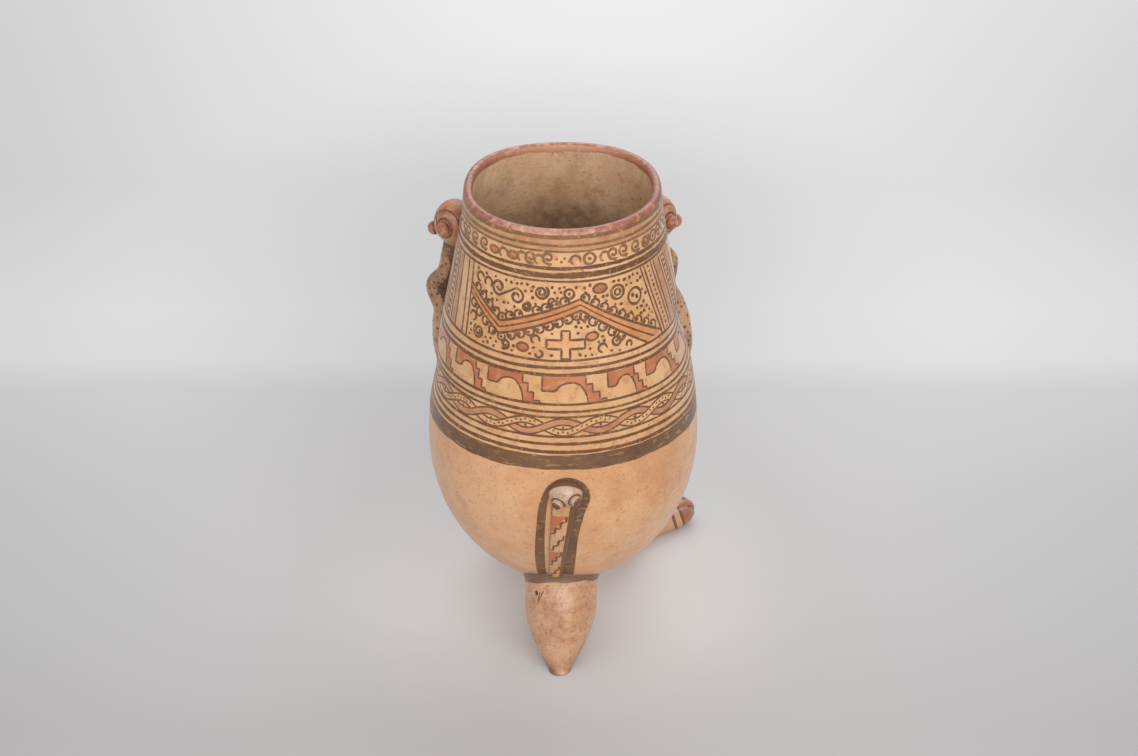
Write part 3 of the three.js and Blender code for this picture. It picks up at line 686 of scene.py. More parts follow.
    def build_lip(self) -> None:
        """Make the lip: the wall's profile closed by half a circle, thicker at the back and waving.

        The red slip runs over the top and a little way in, with a brushed edge on both sides. The back's
        outer shoulder and the front's inner one are worn pale and carry a painted highlight where they
        face the light.
        """
        half = self.wall / 2
        top = self.height - half
        z = np.r_[self.lip_foot, linspace(self.lip_foot + self.crease, top, 9)]
        a = linspace(0, pi, 25)[1:-1]
        middle = self.radius(top) - half
        reach = np.r_[self.radius(z), middle + half * cos(a), self.radius(z[::-1]) - self.wall]
        rings = self.turned(reach, np.r_[z, top + half * sin(a), z[::-1]])
        turn, row = circle(self.segments), arange(len(reach))
        bend = np.r_[0 * z, (1 - cos(a)) / 2, 0 * z + 1][:, None]
        grown = ramp(rings[..., 2], self.lip_foot, self.lip_foot + 5.0)
        swell = self.back_swell * bend * grown * maximum(sin(turn), 0.0)
        rings[..., :2] *= (1 - swell / hypot(rings[..., 0], rings[..., 1]))[..., None]
        lift = 0.6 - 0.1 * sin(turn) - 0.3 * sin(2 * turn + 1.0)
        rings[..., 2] += ramp(rings[..., 2], self.lip_foot, self.height) * lift
        edge = rings[..., 2] + 0.5 * sin(7 * turn) + 0.3 * sin(17 * turn + 1) - top
        outside = row[:, None] < len(z) + len(a) // 2
        back, front = bell(degrees(turn) - 75.0, 38.0), bell(degrees(turn) - 270.0, 48.0)
        crest = 1 - 0.7 * ramp(bend, 0.22, 0.45)
        # Painted highlight over wear: rubbed lightens the shoulders that face the light, back outside and
        # front inside.
        marks = {"pale": outside * ramp(edge, 0.2, -1.0),
                 "red": (0.62 - 0.12 * front) * ~outside * ramp(edge, -2.5, -1.1),
                 "rubbed": where(outside, back * crest * ramp(edge, -0.4, 0.8),
                                 0.9 * front * ramp(edge, -1.6, -0.2))}
        inner = where(row > len(z) + 0.72 * len(a), 1, 0)
        patch = tube(rings, True, inner, **marks)
        add_piece("lip_coil", [patch], (Finish.LIP, Finish.INSIDE), "red_slip", "rim_coil")

    def build(self) -> None:
        """Make the three pieces of the jar."""
        self.build_bowl()
        self.build_wall()
        self.build_lip()


# Painting on the wall

@dataclass
class Brush:
    """One slip laid on the jar wall as thin closed films, about a tenth of a millimetre proud."""

    jar: Jar
    finish: Finish
    lift: float = 0.10
    root: float = -0.30
    sway: float = 0.10
    tremble: float = 0.14
    tip: float = 0.45
    films: list[Patch] = field(default_factory=list)

    def film(self, low: Array, high: Array, across: int = 2, closed: bool = False,
             lift: Array | float | None = None) -> None:
        """Lay a film between two edges, straight across from one to the other in azimuth and height.

        Args:
            low: One edge as (n, 2) of azimuth in radians and height.
            high: The other edge.
            across: Points from edge to edge.
            closed: Whether it runs round to its start.
            lift: Height over the wall, one value or one for each point.
        """
        share = linspace(0, 1, across)[None, :, None]
        sheet = low[:, None] * (1 - share) + high[:, None] * share
        loop = concatenate([sheet, sheet[:, ::-1]], 1)
        over = broadcast_to(self.lift if lift is None else lift, len(low))[:, None]
        proud = concatenate([np.repeat(over, across, 1), full((len(low), across), self.root)], 1)
        self.films.append(tube(self.jar.point(loop[..., 0], loop[..., 1], proud), closed))

    def stroke(self, path: Array, width: float, closed: bool = False,
               lift: Array | float | None = None) -> None:
        """Lay a line along a path, moved half its width to each side, with the hand's change of width.

        Args:
            path: Its middle as (n, 2) of azimuth in radians and height.
            width: Width in millimetres.
            closed: Whether it runs round to its start.
            lift: Height over the wall.
        """
        reach = self.jar.radius(path[:, 1].mean())
        if closed:
            step = np.roll(path, -1, 0) - np.roll(path, 1, 0)
            step[:, 0] = (step[:, 0] + pi) % (2 * pi) - pi
        else:
            step = np.gradient(path, axis=0)
        step = step * [reach, 1.0]
        step /= maximum(np.linalg.norm(step, axis=1, keepdims=True), 1e-9)
        run = arange(len(path)) / len(path)
        uneven = np.convolve(JITTER.normal(size=len(path) + 2), (0.3, 0.4, 0.3), "valid")
        slow = sin(2 * pi * (2 * run + JITTER.random()))
        half = 0.5 * width * (1 + self.sway * slow + self.tremble * uneven)
        if not closed:
            from_end = minimum(run, run[::-1]) * len(path) / 2.0
            half = half * (self.tip + (1 - self.tip) * sqrt(clip(from_end, 0, 1)))
        side = stack([-step[:, 1] / reach, step[:, 0]], 1) * half[:, None]
        self.film(path - side, path + side, 2, closed, lift)

    def join(self, name: str, slot: str = "painted_wall") -> None:
        """Join the films into one piece, and clear the brush."""
        add_piece(name, self.films, (self.finish,), slot, smooth=False)
        self.films = []


def arc(radius: float, start: float, stop: float, squash: float = 1.0) -> Array:
    """Arc about the origin, radius * (cos a, squash * sin a), degrees anticlockwise from the right."""
    turn = radians(linspace(start, stop, max(7, int(abs(stop - start) / 180 * pi * radius / 0.7))))
    return radius * stack([cos(turn), squash * sin(turn)], 1)


def spiral(inner: float, outer: float, start: float, turns: float) -> Array:
    """Spiral whose radius grows evenly with its turn; a negative number of turns runs clockwise."""
    share = linspace(0, 1, max(12, int(abs(turns) * 2 * pi * outer / 0.9)))
    turn = radians(start) + 2 * pi * turns * share
    return (inner + (outer - inner) * share)[:, None] * stack([cos(turn), sin(turn)], 1)


def line(*corners: tuple[float, float], step: float = 1.2) -> Array:
    """Straight legs through corners, with points a step apart."""
    ends = np.asarray(corners, float)
    legs = [a + (b - a) * linspace(0, 1, max(3, int(hypot(*(b - a)) / step)))[:, None]
            for a, b in zip(ends, ends[1:])]
    return concatenate([legs[0]] + [leg[1:] for leg in legs[1:]])


class Curl(Enum):
    """Motifs of the scroll band and of the panel's fields."""

    NINE = "curl with a tail"
    SNAIL = "spiral"
    OVAL = "red oval with an outline"
    EYE = "ring with a dot"
    RINGS = "ring in a ring"
    TWINS = "ring with two dots"
    HOOK = "open hook"
    ESS = "double scroll"
    BEADS = "pair of dots"


@dataclass
class WallPainting:
    """The painted bands of the wall: ring lines, scrolls, a panel, a step fret and a guilloche."""

    jar: Jar
    line_width: float = 1.8
    # Ring lines: height and width.
    ring_lines: Rows = (
        (321.2, 2.6), (316.4, 2.0), (312.2, 1.5), (301.0, 2.2), (296.4, 3.6), (292.4, 1.5), (241.4, 1.7),
        (236.2, 1.9), (232.0, 2.4), (211.6, 1.7), (207.4, 1.8), (203.4, 1.6), (190.2, 1.6), (185.0, 2.0),
        (179.6, 2.5))
    ring_wave: float = 0.35
    neck_low: float = 312.4
    neck_high: float = 321.0
    scroll_level: float = 306.6
    panel_low: float = 242.0
    panel_high: float = 291.5
    panel_radius: float = 71.0
    # Outermost borders of the back panel: azimuth at the top and at the bottom.
    left_border: tuple[float, float] = (22.8, 25.2)
    right_border: tuple[float, float] = (147.8, 158.0)
    # Turning points of the chevron's edges: azimuths and heights.
    chevron_upper: Rows = ((35.6, 57.4, 99.1, 145.6), (278.2, 261.8, 280.8, 245.0))
    chevron_lower: Rows = ((35.6, 57.5, 99.5, 134.5), (271.4, 253.4, 273.6, 242.1))
    # Millimetres to a degree on the back panel and on the front.
    back_degree: float = 1.24
    front_degree: float = 1.22
    front_azimuth: float = 270.0
    neck_level: float = 245.0
    neck_clear: float = 31.0
    cross_azimuth: float = 91.6
    cross_level: float = 251.6
    fret_low: float = 212.0
    fret_high: float = 231.0
    twist_level: float = 196.8
    twist_start: float = 82.1
    twist_swing: float = 3.7
    twist_width: float = 4.3
    twist_waves: int = 11
    belly_low: float = 166.6
    belly_high: float = 177.2
    dark: Brush = field(init=False)
    faded: Brush = field(init=False)
    brick: Brush = field(init=False)
    orange: Brush = field(init=False)
    rose: Brush = field(init=False)
    wash: Brush = field(init=False)
    cream: Brush = field(init=False)

    def __post_init__(self) -> None:
        """Ready a brush for each slip, the dark ones to lie over the others."""
        self.dark, self.faded = (Brush(self.jar, slip, 0.11) for slip in (Finish.DARK, Finish.FADED))
        self.brick, self.orange, self.rose, self.wash, self.cream = (
            Brush(self.jar, slip, 0.05)
            for slip in (Finish.BRICK, Finish.ORANGE, Finish.ROSE, Finish.WASH, Finish.CREAM))

    def place(self, shape: Array, azimuth: float, z: float, size: float = 1.0, turn: float = 0.0,
              flip: int = 1) -> Array:
        """Put a flat shape on the wall.

        Args:
            shape: Points in millimetres, right and up as seen from outside.
            azimuth: Azimuth in degrees.
            z: Height.
            size: Factor on the shape.
            turn: Degrees anticlockwise.
            flip: -1 to mirror it.

        Returns:
            Points as azimuth in radians and height.
        """
        c, s = cos(radians(turn)), sin(radians(turn))
        flat = (shape * [flip, 1]) @ array([[c, s], [-s, c]]) * size
        reach = self.jar.radius(z)
        return stack([radians(azimuth) + flat[:, 0] / reach, z + flat[:, 1]], 1)

    def disc(self, brush: Brush, azimuth: float, z: float, wide: float, tall: float, turn: float = 0.0,
             lift: float | None = None, gap: float = 0.03) -> None:
        """Fill an oval: a film between its lower and upper arcs. A small one, a dot, lies higher.

        Args:
            brush: Its slip.
            azimuth: Azimuth in degrees.
            z: Height.
            wide: Half width.
            tall: Half height.
            turn: Degrees anticlockwise.
            lift: Height over the wall, if not the brush's own.
            gap: Share of half a turn left blunt at each end.
        """
        small = wide < 1.6
        if lift is None:
            lift = brush.lift + (0.02 if small else 0.0)
        a = linspace(pi * (1 - gap), pi * gap, 7 if small else 15)
        upper = stack([wide * cos(a), tall * sin(a)], 1)
        low, high = (self.place(upper * [1, way], azimuth, z, turn=turn) for way in (-1, 1))
        brush.film(low, high, 2 if small else 4, lift=lift)

    def dot(self, azimuth: float, z: float, size: float = 0.85, brush: Brush | None = None) -> None:
        """Paint a dot of about a given radius, uneven in size, dark if no slip is named."""
        tall = size * JITTER.uniform(0.8, 1.15)
        wide = tall * JITTER.uniform(1.0, 1.35)
        self.disc(brush or self.dark, azimuth, z, wide, tall, JITTER.uniform(0, 180))

    def motif(self, kind: Curl, azimuth: float, z: float, size: float = 1.0, turn: float = 0.0,
              flip: int = 1, brush: Brush | None = None) -> None:
        """Paint one motif, drawn for a radius of about three millimetres and scaled.

        Args:
            kind: Which motif.
            azimuth: Azimuth in degrees.
            z: Height.
            size: Factor on the motif.
            turn: Degrees anticlockwise.
            flip: -1 to mirror it.
            brush: Slip of its lines, if not the dark one.
        """
        brush = brush or self.dark

        def draw(shape: Array, share: float = 0.95, closed: bool = False) -> None:
            """Stroke one shape of the motif with a share of the line's width."""
            brush.stroke(self.place(shape, azimuth, z, size, turn, flip), self.line_width * share, closed)

        def pair(across: float, up: float, down: float, dot_size: float) -> None:
            """Dot the motif twice, above its middle on one side and below it on the other."""
            aside = degrees(across / self.jar.radius(z))
            self.dot(azimuth - aside, z + up, dot_size, brush)
            self.dot(azimuth + aside, z - down, dot_size, brush)

        if kind is Curl.NINE:
            head = spiral(0.7, 2.9, 190, 1.2)
            tail = line(tuple(head[-1]), (1.6, -2.9), (0.3, -3.9), step=0.6)[1:]
            draw(vstack([head, tail]) + [0, 0.8], 1.045)
        elif kind is Curl.SNAIL:
            draw(spiral(0.5, 3.3, 90, 1.9))
        elif kind is Curl.OVAL:
            self.disc(self.brick, azimuth, z, 3.4 * size, 2.3 * size, turn)
            draw(arc(3.4, 0, 352, 0.68), 0.8075, True)
        elif kind is Curl.HOOK:
            draw(vstack([arc(2.4, 250, 20), line((2.3, 0.9), (2.5, -1.2))]))
        elif kind is Curl.ESS:
            left = spiral(0.6, 3.0, 180, 1.30) + [-3.9, 0.4]
            link = line(tuple(left[-1]), tuple(-left[-1]), step=0.7)[1:-1]
            draw(vstack([left, link, -left[::-1]]))
        elif kind is Curl.BEADS:
            pair(1.5, 1.0, 0.8, 0.85)
        else:
            draw(arc(3.0, 0, 352), closed=True)
            if kind is Curl.EYE:
                self.dot(azimuth, z, 0.95 * size, brush)
            elif kind is Curl.RINGS:
                draw(arc(1.35, 0, 345), 0.855, True)
            else:
                pair(0.9 * size, 0.5 * size, 0.5 * size, 1.15)

    def rings(self) -> None:
        """Paint the lines that part the bands, waving with the hand, and the neck's wash."""
        turn = circle(288)
        for z, width in self.ring_lines:
            a, b, c = JITTER.random(3) * 2 * pi
            wave = sin(turn + a) + 0.6 * sin(3 * turn + b) + 0.25 * sin(9 * turn + c)
            brush = self.faded if z > self.scroll_level else self.dark
            brush.stroke(stack([turn, z + self.ring_wave * wave], 1), width, True)
        wash = Brush(self.jar, Finish.NECK, 0.04)
        low, high = (stack([turn, full_like(turn, z)], 1) for z in (self.neck_low, self.neck_high))
        wash.film(low, high, 5, True)
        wash.join("painted_neck_wash")
        self.faded.join("painted_neck_lines")
        self.dark.join("painted_ring_lines")

    def scroll_band(self) -> None:
        """Paint curls, ovals and dots round the neck; the seen ones stand where they were painted."""
        nine, hook, oval, beads, eye = Curl.NINE, Curl.HOOK, Curl.OVAL, Curl.BEADS, Curl.EYE
        seen = ((24.6, nine), (33.0, nine), (41.6, nine), (49.4, oval), (55.8, hook), (61.8, oval),
                (67.4, hook), (72.3, nine), (77.2, hook), (82.2, nine), (88.2, beads), (92.6, beads),
                (97.2, hook), (105.0, eye), (110.0, beads), (113.8, hook), (119.0, nine),
                (126.0, nine), (135.0, nine), (143.2, Curl.SNAIL), (151.4, eye))
        cycle = (nine, hook, nine, oval, hook, nine, beads, eye)
        rest = [(159.0 + 6.5 * k, cycle[k % len(cycle)]) for k in range(35)]
        for azimuth, kind in (*seen, *rest):
            size = {oval: 1.02, hook: 1.25, eye: 1.2}.get(kind, 1.38)
            z = self.scroll_level + JITTER.uniform(-0.3, 0.3)
            self.motif(kind, azimuth, z, size, JITTER.uniform(-8, 8), brush=self.faded)
        self.faded.join("painted_scroll_band")
        self.brick.join("painted_scroll_band_ovals")

    def chevron(self, azimuth: Array, upper: bool) -> Array:
        """Height of the chevron's upper or lower edge: straight legs between its turning points."""
        return np.interp(azimuth, *(self.chevron_upper if upper else self.chevron_lower))

    def panel(self) -> None:
        """Paint the back panel: borders, a two-striped chevron, scallops, scrolls, a cross and dots."""
        low, high = self.panel_low - 0.6, self.panel_high + 0.6
        for top, bottom in (self.left_border, (29.6, 32.6), (34.2, 36.4), (136.4, 146.6), (139.0, 149.2),
                            (145.2, 155.4), self.right_border):
            self.dark.stroke(self.slant(top, bottom, high, low), 1.35)
        for share in linspace(0.05, 0.95, 14):
            self.dot(142.1 + 10.2 * share, high + (low - high) * share, 1.0)
        azimuth = linspace(35.6, 145.6, 165)
        below = np.interp(azimuth, (35.6, 99.1, 145.6), (35.6, 99.5, 134.5))
        upper = stack([radians(azimuth), self.chevron(azimuth, True)], 1)
        lower = stack([radians(below), self.chevron(below, False)], 1)
        self.orange.film(lower, upper, 6)
        for edge, width in ((upper, 1.6), ((upper + lower) / 2, 1.1), (lower, 1.6)):
            self.dark.stroke(edge, width)
        taken = self.fields() + self.cross()
        self.scallops(taken)
        self.filling(array(taken))
        self.dark.join("painted_panel_lines")
        self.brick.join("painted_panel_red")
        self.orange.join("painted_panel_orange")
        self.wash.join("painted_panel_cross_fill")

    def slant(self, top: float, bottom: float, high: float, low: float) -> Array:
        """Line from a top azimuth at one height, drifting evenly to a bottom azimuth at another."""
        share = linspace(0, 1, 30)
        return stack([radians(top + (bottom - top) * share), high + (low - high) * share], 1)

    def fields(self) -> list[Triple]:
        """Paint the single motifs of both fields.

        Returns:
            Azimuth, height and radius of each, so that the filling keeps clear.
        """
        # Motif, azimuth, height, size, turn, mirroring and the radius it takes up.
        spots = ((Curl.ESS, 60.2, 281.6, 1.75, -8, 1, 4.6), (Curl.SNAIL, 79.0, 285.0, 1.45, 0, 1, 5.6),
                 (Curl.HOOK, 84.6, 279.2, 0.9, 60, 1, 3.4), (Curl.OVAL, 110.0, 286.4, 1.3, 4, 1, 5.2),
                 (Curl.RINGS, 119.8, 281.6, 1.5, 0, 1, 5.6), (Curl.TWINS, 130.2, 275.4, 1.75, 0, 1, 6.4),
                 (Curl.HOOK, 41.4, 284.6, 1.25, 30, 1, 4.2), (Curl.HOOK, 47.6, 283.6, 1.25, -20, 1, 4.2),
                 (Curl.SNAIL, 71.4, 274.6, 1.0, 40, 1, 4.0), (Curl.EYE, 93.6, 284.6, 1.0, 0, 1, 4.2),
                 (Curl.SNAIL, 44.9, 249.4, 1.45, 0, -1, 5.6), (Curl.HOOK, 39.8, 257.6, 1.2, -60, 1, 4.2),
                 (Curl.NINE, 61.4, 246.9, 1.1, 0, -1, 4.6), (Curl.OVAL, 70.6, 248.2, 1.15, 0, 1, 4.8),
                 (Curl.HOOK, 76.8, 254.2, 1.1, 0, 1, 3.9), (Curl.HOOK, 78.8, 245.0, 0.95, 200, 1, 3.4),
                 (Curl.OVAL, 104.6, 256.0, 1.15, 6, 1, 4.6), (Curl.HOOK, 109.5, 247.4, 1.15, 20, 1, 4.0),
                 (Curl.EYE, 117.0, 250.2, 0.95, 0, 1, 3.8), (Curl.HOOK, 123.6, 246.0, 0.8, 10, -1, 3.2))
        for kind, azimuth, z, size, turn, flip, _ in spots:
            self.motif(kind, azimuth, z, size, turn, flip)
        scroll_ends = [(54.4, 282.6, 6.0), (66.0, 280.6, 6.0)]
        return [(azimuth, z, clear) for _, azimuth, z, _, _, _, clear in spots] + scroll_ends

    def cross(self) -> list[Triple]:
        """Paint the outlined cross: a bar and a post filled with wash.

        Returns:
            Azimuth, height and radius of the places it takes up.
        """
        at = (self.cross_azimuth, self.cross_level)
        long, high, low, bar_half, post_half = 12.2, 9.0, -9.4, 2.9, 2.7
        bar = self.place(line((-long, 0), (long, 0)), *at)
        post = self.place(line((0, low), (0, high)), *at)
        wide = array([[post_half / self.jar.radius(self.cross_level), 0]])
        self.wash.film(bar - [0, bar_half], bar + [0, bar_half], 3, lift=0.06)
        self.wash.film(post - wide, post + wide, 3, lift=0.055)
        outline = line((-long, -bar_half), (-post_half, -bar_half), (-post_half, low), (post_half, low),
                       (post_half, -bar_half), (long, -bar_half), (long, bar_half), (post_half, bar_half),
                       (post_half, high), (-post_half, high), (-post_half, bar_half), (-long, bar_half),
                       (-long, 0.5 - bar_half))
        self.dark.stroke(self.place(outline, *at), 1.6)
        beside = [(self.cross_azimuth + shift, self.cross_level, 5.0) for shift in (-8, -4, 0, 4, 8)]
        return beside + [(self.cross_azimuth, self.cross_level + shift, 4.8) for shift in (-6.5, 6.5)]

    def scallops(self, taken: list[Triple]) -> None:
        """Paint half rings with a dot in each, all along both edges of the chevron.

        Args:
            taken: Azimuth, height and radius of the places to keep clear of.
        """
        for upper, start, stop in ((True, 39.5, 141.0), (False, 40.0, 129.5)):
            way = 1 if upper else -1
            half = (arc(2.7, -38, 218) if upper else arc(2.7, 142, 398)) + [0, way * 2.2]
            azimuth = arange(start, stop, 4.75)
            level = self.chevron(azimuth, upper)
            tilt = degrees(np.arctan(np.gradient(level, radians(azimuth) * self.panel_radius)))
            for a, z, turn in zip(azimuth, level, tilt):
                if any(max(abs(z + way * 3.1 - at_z), abs(a - at_a) * self.back_degree) < clear - 0.5
                       for at_a, at_z, clear in taken):
                    continue
                self.dark.stroke(self.place(half, a, z, turn=turn), 1.45)
                self.dot(a, z + way * 2.6, 1.0)

    def filling(self, taken: Array) -> None:
        """Paint dots on a loose staggered net wherever the fields are free.

        Args:
            taken: Azimuth, height and radius of the places to keep clear of, as (n, 3).
        """
        rows = arange(self.panel_low + 2.2, self.panel_high - 1.0, 3.7)
        azimuth, z = np.meshgrid(arange(38.5, 144.0, 3.3), rows)
        stagger = 1.65 * (arange(len(rows)) % 2)[:, None]
        azimuth = azimuth + stagger + JITTER.uniform(-0.7, 0.7, z.shape)
        z = z + JITTER.uniform(-0.8, 0.8, z.shape)
        off = hypot((azimuth[..., None] - taken[:, 0]) * self.back_degree, z[..., None] - taken[:, 1])
        border = 136.4 + (self.panel_high - z) * 0.206
        free = (((off - taken[:, 2]).min(-1) > 0.7) & (azimuth < border - 1.6)
                & (z < self.panel_high - 2.0) & ((z > self.chevron(azimuth, True) + 6.2)
                                                 | (z < self.chevron(azimuth, False) - 6.2)))
        for a, h in zip(azimuth[free], z[free]):
            self.dot(a, h, 1.0)

    def step_fret(self) -> None:
        """Paint red hooked steps: a block, an arch cut out of it and a stepped right edge.

        With u from 0 to 1 along a step, the arch is an ellipse over its middle and the right edge
        falls by three stairs.
        """
        edges = np.r_[31.3, 53.9, 80.8, 111.0, 131.6 + 25.97 * arange(11)]
        low, high = self.fret_low + 0.3, self.fret_high - 0.3
        mid, crest = (low + share * (high - low) for share in (0.47, 0.78))
        stair = high - (high - low) * array([0.0, 0.31, 0.62, 0.9])
        foot, heel, treads, end = 0.22, 0.68, (0.66, 0.76, 0.86), 0.965
        u = linspace(0.0, end, 130)
        v = clip((u - foot) / (heel - foot), 0, 1)
        bend = sqrt(clip(1 - (2 * v - 1) ** 2, 0, 1))
        under = np.select([u < foot, v < 0.5, u < heel],
                          [mid, mid + (crest - mid) * bend, low + (crest - low) * bend], low)
        over = maximum(np.select([u < at for at in treads], stair[:3], stair[3]), under + 0.05)
        arch = (u >= foot) & (u <= heel + 0.005)
        corners = [(at, level) for at, pair in zip((*treads, end), zip(stair, (*stair[1:], low)))
                   for level in pair]
        for start, stop in zip(edges[:-1], edges[1:]):
            wide = radians(stop - start)
            reach = wide * self.jar.radius(mid)
            at = radians(start) + wide * u
            self.brick.film(stack([at, under], 1), stack([at, over], 1), 5)
            hook = vstack([line((0, high), (0, mid), (foot * reach, mid))[:-1],
                           stack([u[arch] * reach, under[arch]], 1)])
            for path in (hook, line(*[(a * reach, b) for a, b in corners])):
                turn = radians(start) + path[:, 0] / reach * wide
                self.dark.stroke(stack([turn, path[:, 1]], 1), 1.25)
        self.dark.join("painted_step_fret_lines")
        self.brick.join("painted_step_fret_red")

    def guilloche(self) -> None:
        """Paint two strands that swing about one level and pass over and under each other in turn.

        Each middle line is the level plus or minus a sine; the film's lift follows the cosine, so that
        the strand on top changes at every crossing. One strand is dotted.
        """
        mean_lift, lift_swing = 0.085, 0.035
        turn = circle(760)
        phase = self.twist_waves * (turn - radians(self.twist_start))
        steep = self.twist_swing * self.twist_waves / self.jar.radius(self.twist_level)
        half = 0.5 * self.twist_width * sqrt(1 + (steep * abs(cos(phase))) ** 2)
        for sign, brush in ((1, self.rose), (-1, self.cream)):
            middle = self.twist_level + sign * self.twist_swing * sin(phase)
            over = mean_lift + sign * lift_swing * cos(phase)
            low, high = (stack([turn, middle + k * half], 1) for k in (-1, 1))
            brush.film(low, high, 4, True, over)
            for edge in (low, high):
                self.dark.stroke(edge, 1.15, True, over + 0.02)
        azimuth = arange(0, 360, 2.05)
        wave = self.twist_waves * radians(azimuth - self.twist_start)
        level = (self.twist_level - self.twist_swing * sin(wave)
                 + where(arange(len(azimuth)) % 2 == 0, 0.45, -0.45))
        lift = mean_lift - lift_swing * cos(wave) + 0.03
        seen = cos(wave) < 0.72
        for a, z, proud in zip(azimuth[seen], level[seen], lift[seen]):
            self.disc(self.dark, a, z, 0.72, 0.72, lift=proud, gap=0.05)
        for k in range(2 * self.twist_waves):
            eye = self.twist_start + 180.0 / self.twist_waves * (k + 0.5)
            self.dot(eye, self.twist_level + JITTER.uniform(-0.4, 0.4), 0.8)
        self.dark.join("painted_guilloche_lines")
        self.rose.join("painted_guilloche_red_strand")
        self.cream.join("painted_guilloche_cream_strand")

    def belly_band(self) -> None:
        """Paint the broad dark band at the belly, with an uneven brushed edge above and below.

        Each edge ripples by the sum of sin(n * turn + phase) / (1 + n / 20) over four numbers n.
        """
        turn, times = circle(640), array([[2], [7], [19], [43]])
        phases = JITTER.random(8).reshape(2, 4, 1) * 2 * pi
        ripples = (sin(times * turn + phases) / (1 + 0.05 * times)).sum(1)
        low, high = (stack([turn, z + amount * ripple], 1) for z, amount, ripple
                     in zip((self.belly_low, self.belly_high), (0.42, 0.22), ripples))
        brush = Brush(self.jar, Finish.BELLY, 0.07)
        brush.film(low, high, 9, True)
        brush.join("painted_belly_band")

    def side_panels(self) -> None:
        """Paint rose stripes, lines and a column of dots beyond the borders of the back panel."""
        high, low = self.panel_high, self.panel_low
        for (top, bottom), way in ((self.left_border, -1), (self.right_border, 1)):
            path = self.slant(top, bottom, high, low)
            for start in (0.9, 16.4):
                near, far = (path + [way * radians(shift), 0] for shift in (start, start + 4.2))
                self.rose.film(near, far, 4)
            for shift in (6.0, 8.6, 13.2, 15.6, 21.4):
                self.dark.stroke(path + [way * radians(shift), 0], 1.3)
            for share in linspace(0.05, 0.95, 12):
                self.dot(top + (bottom - top) * share + way * 10.9, high + (low - high) * share, 1.15)
        self.dark.join("painted_side_stripe_lines")
        self.rose.join("painted_side_stripes")

    def front_field(self) -> None:
        """Paint rosettes and dots on the wall round the head, clear of its neck and of the arms."""
        low, high = self.panel_low, self.panel_high
        rows = arange(low + 5.0, high - 3.0, 9.6)
        pitch = 8.4
        azimuth, z = np.meshgrid(arange(232.0, 312.0, pitch), rows)
        stagger = pitch / 2 * (arange(len(rows)) % 2)[:, None]
        azimuth = azimuth + stagger + JITTER.uniform(-0.8, 0.8, z.shape)
        z = z + JITTER.uniform(-0.6, 0.6, z.shape)
        free, between = (
            hypot((azimuth + shift - self.front_azimuth) * self.front_degree, z - self.neck_level)
            > self.neck_clear for shift in (0.0, pitch / 2))
        kinds = (Curl.EYE, Curl.TWINS, Curl.RINGS)
        for k, (a, h) in enumerate(zip(azimuth[free], z[free])):
            self.motif(kinds[k % 3], a, h, 1.15 + 0.2 * (k % 2))
        for a, h in zip(azimuth[between] + pitch / 2, z[between]):
            self.dot(a, h, 1.05)
        for a in (191.5, 349.5):
            for h in arange(low + 5.0, high - 3.0, 9.0):
                self.motif(Curl.EYE, a + JITTER.uniform(-1, 1), h, 1.15)
        for top in (222.0, 226.0, 314.0, 318.0):
            self.dark.stroke(self.slant(top, top + 1.0, high, low), 1.5)
        self.dark.join("painted_front_rosettes")

    def build(self) -> None:
        """Paint everything on the wall."""
        self.rings()
        self.scroll_band()
        self.panel()
        self.step_fret()
        self.guilloche()
        self.belly_band()
        self.side_panels()
        self.front_field()


# Legs and feet

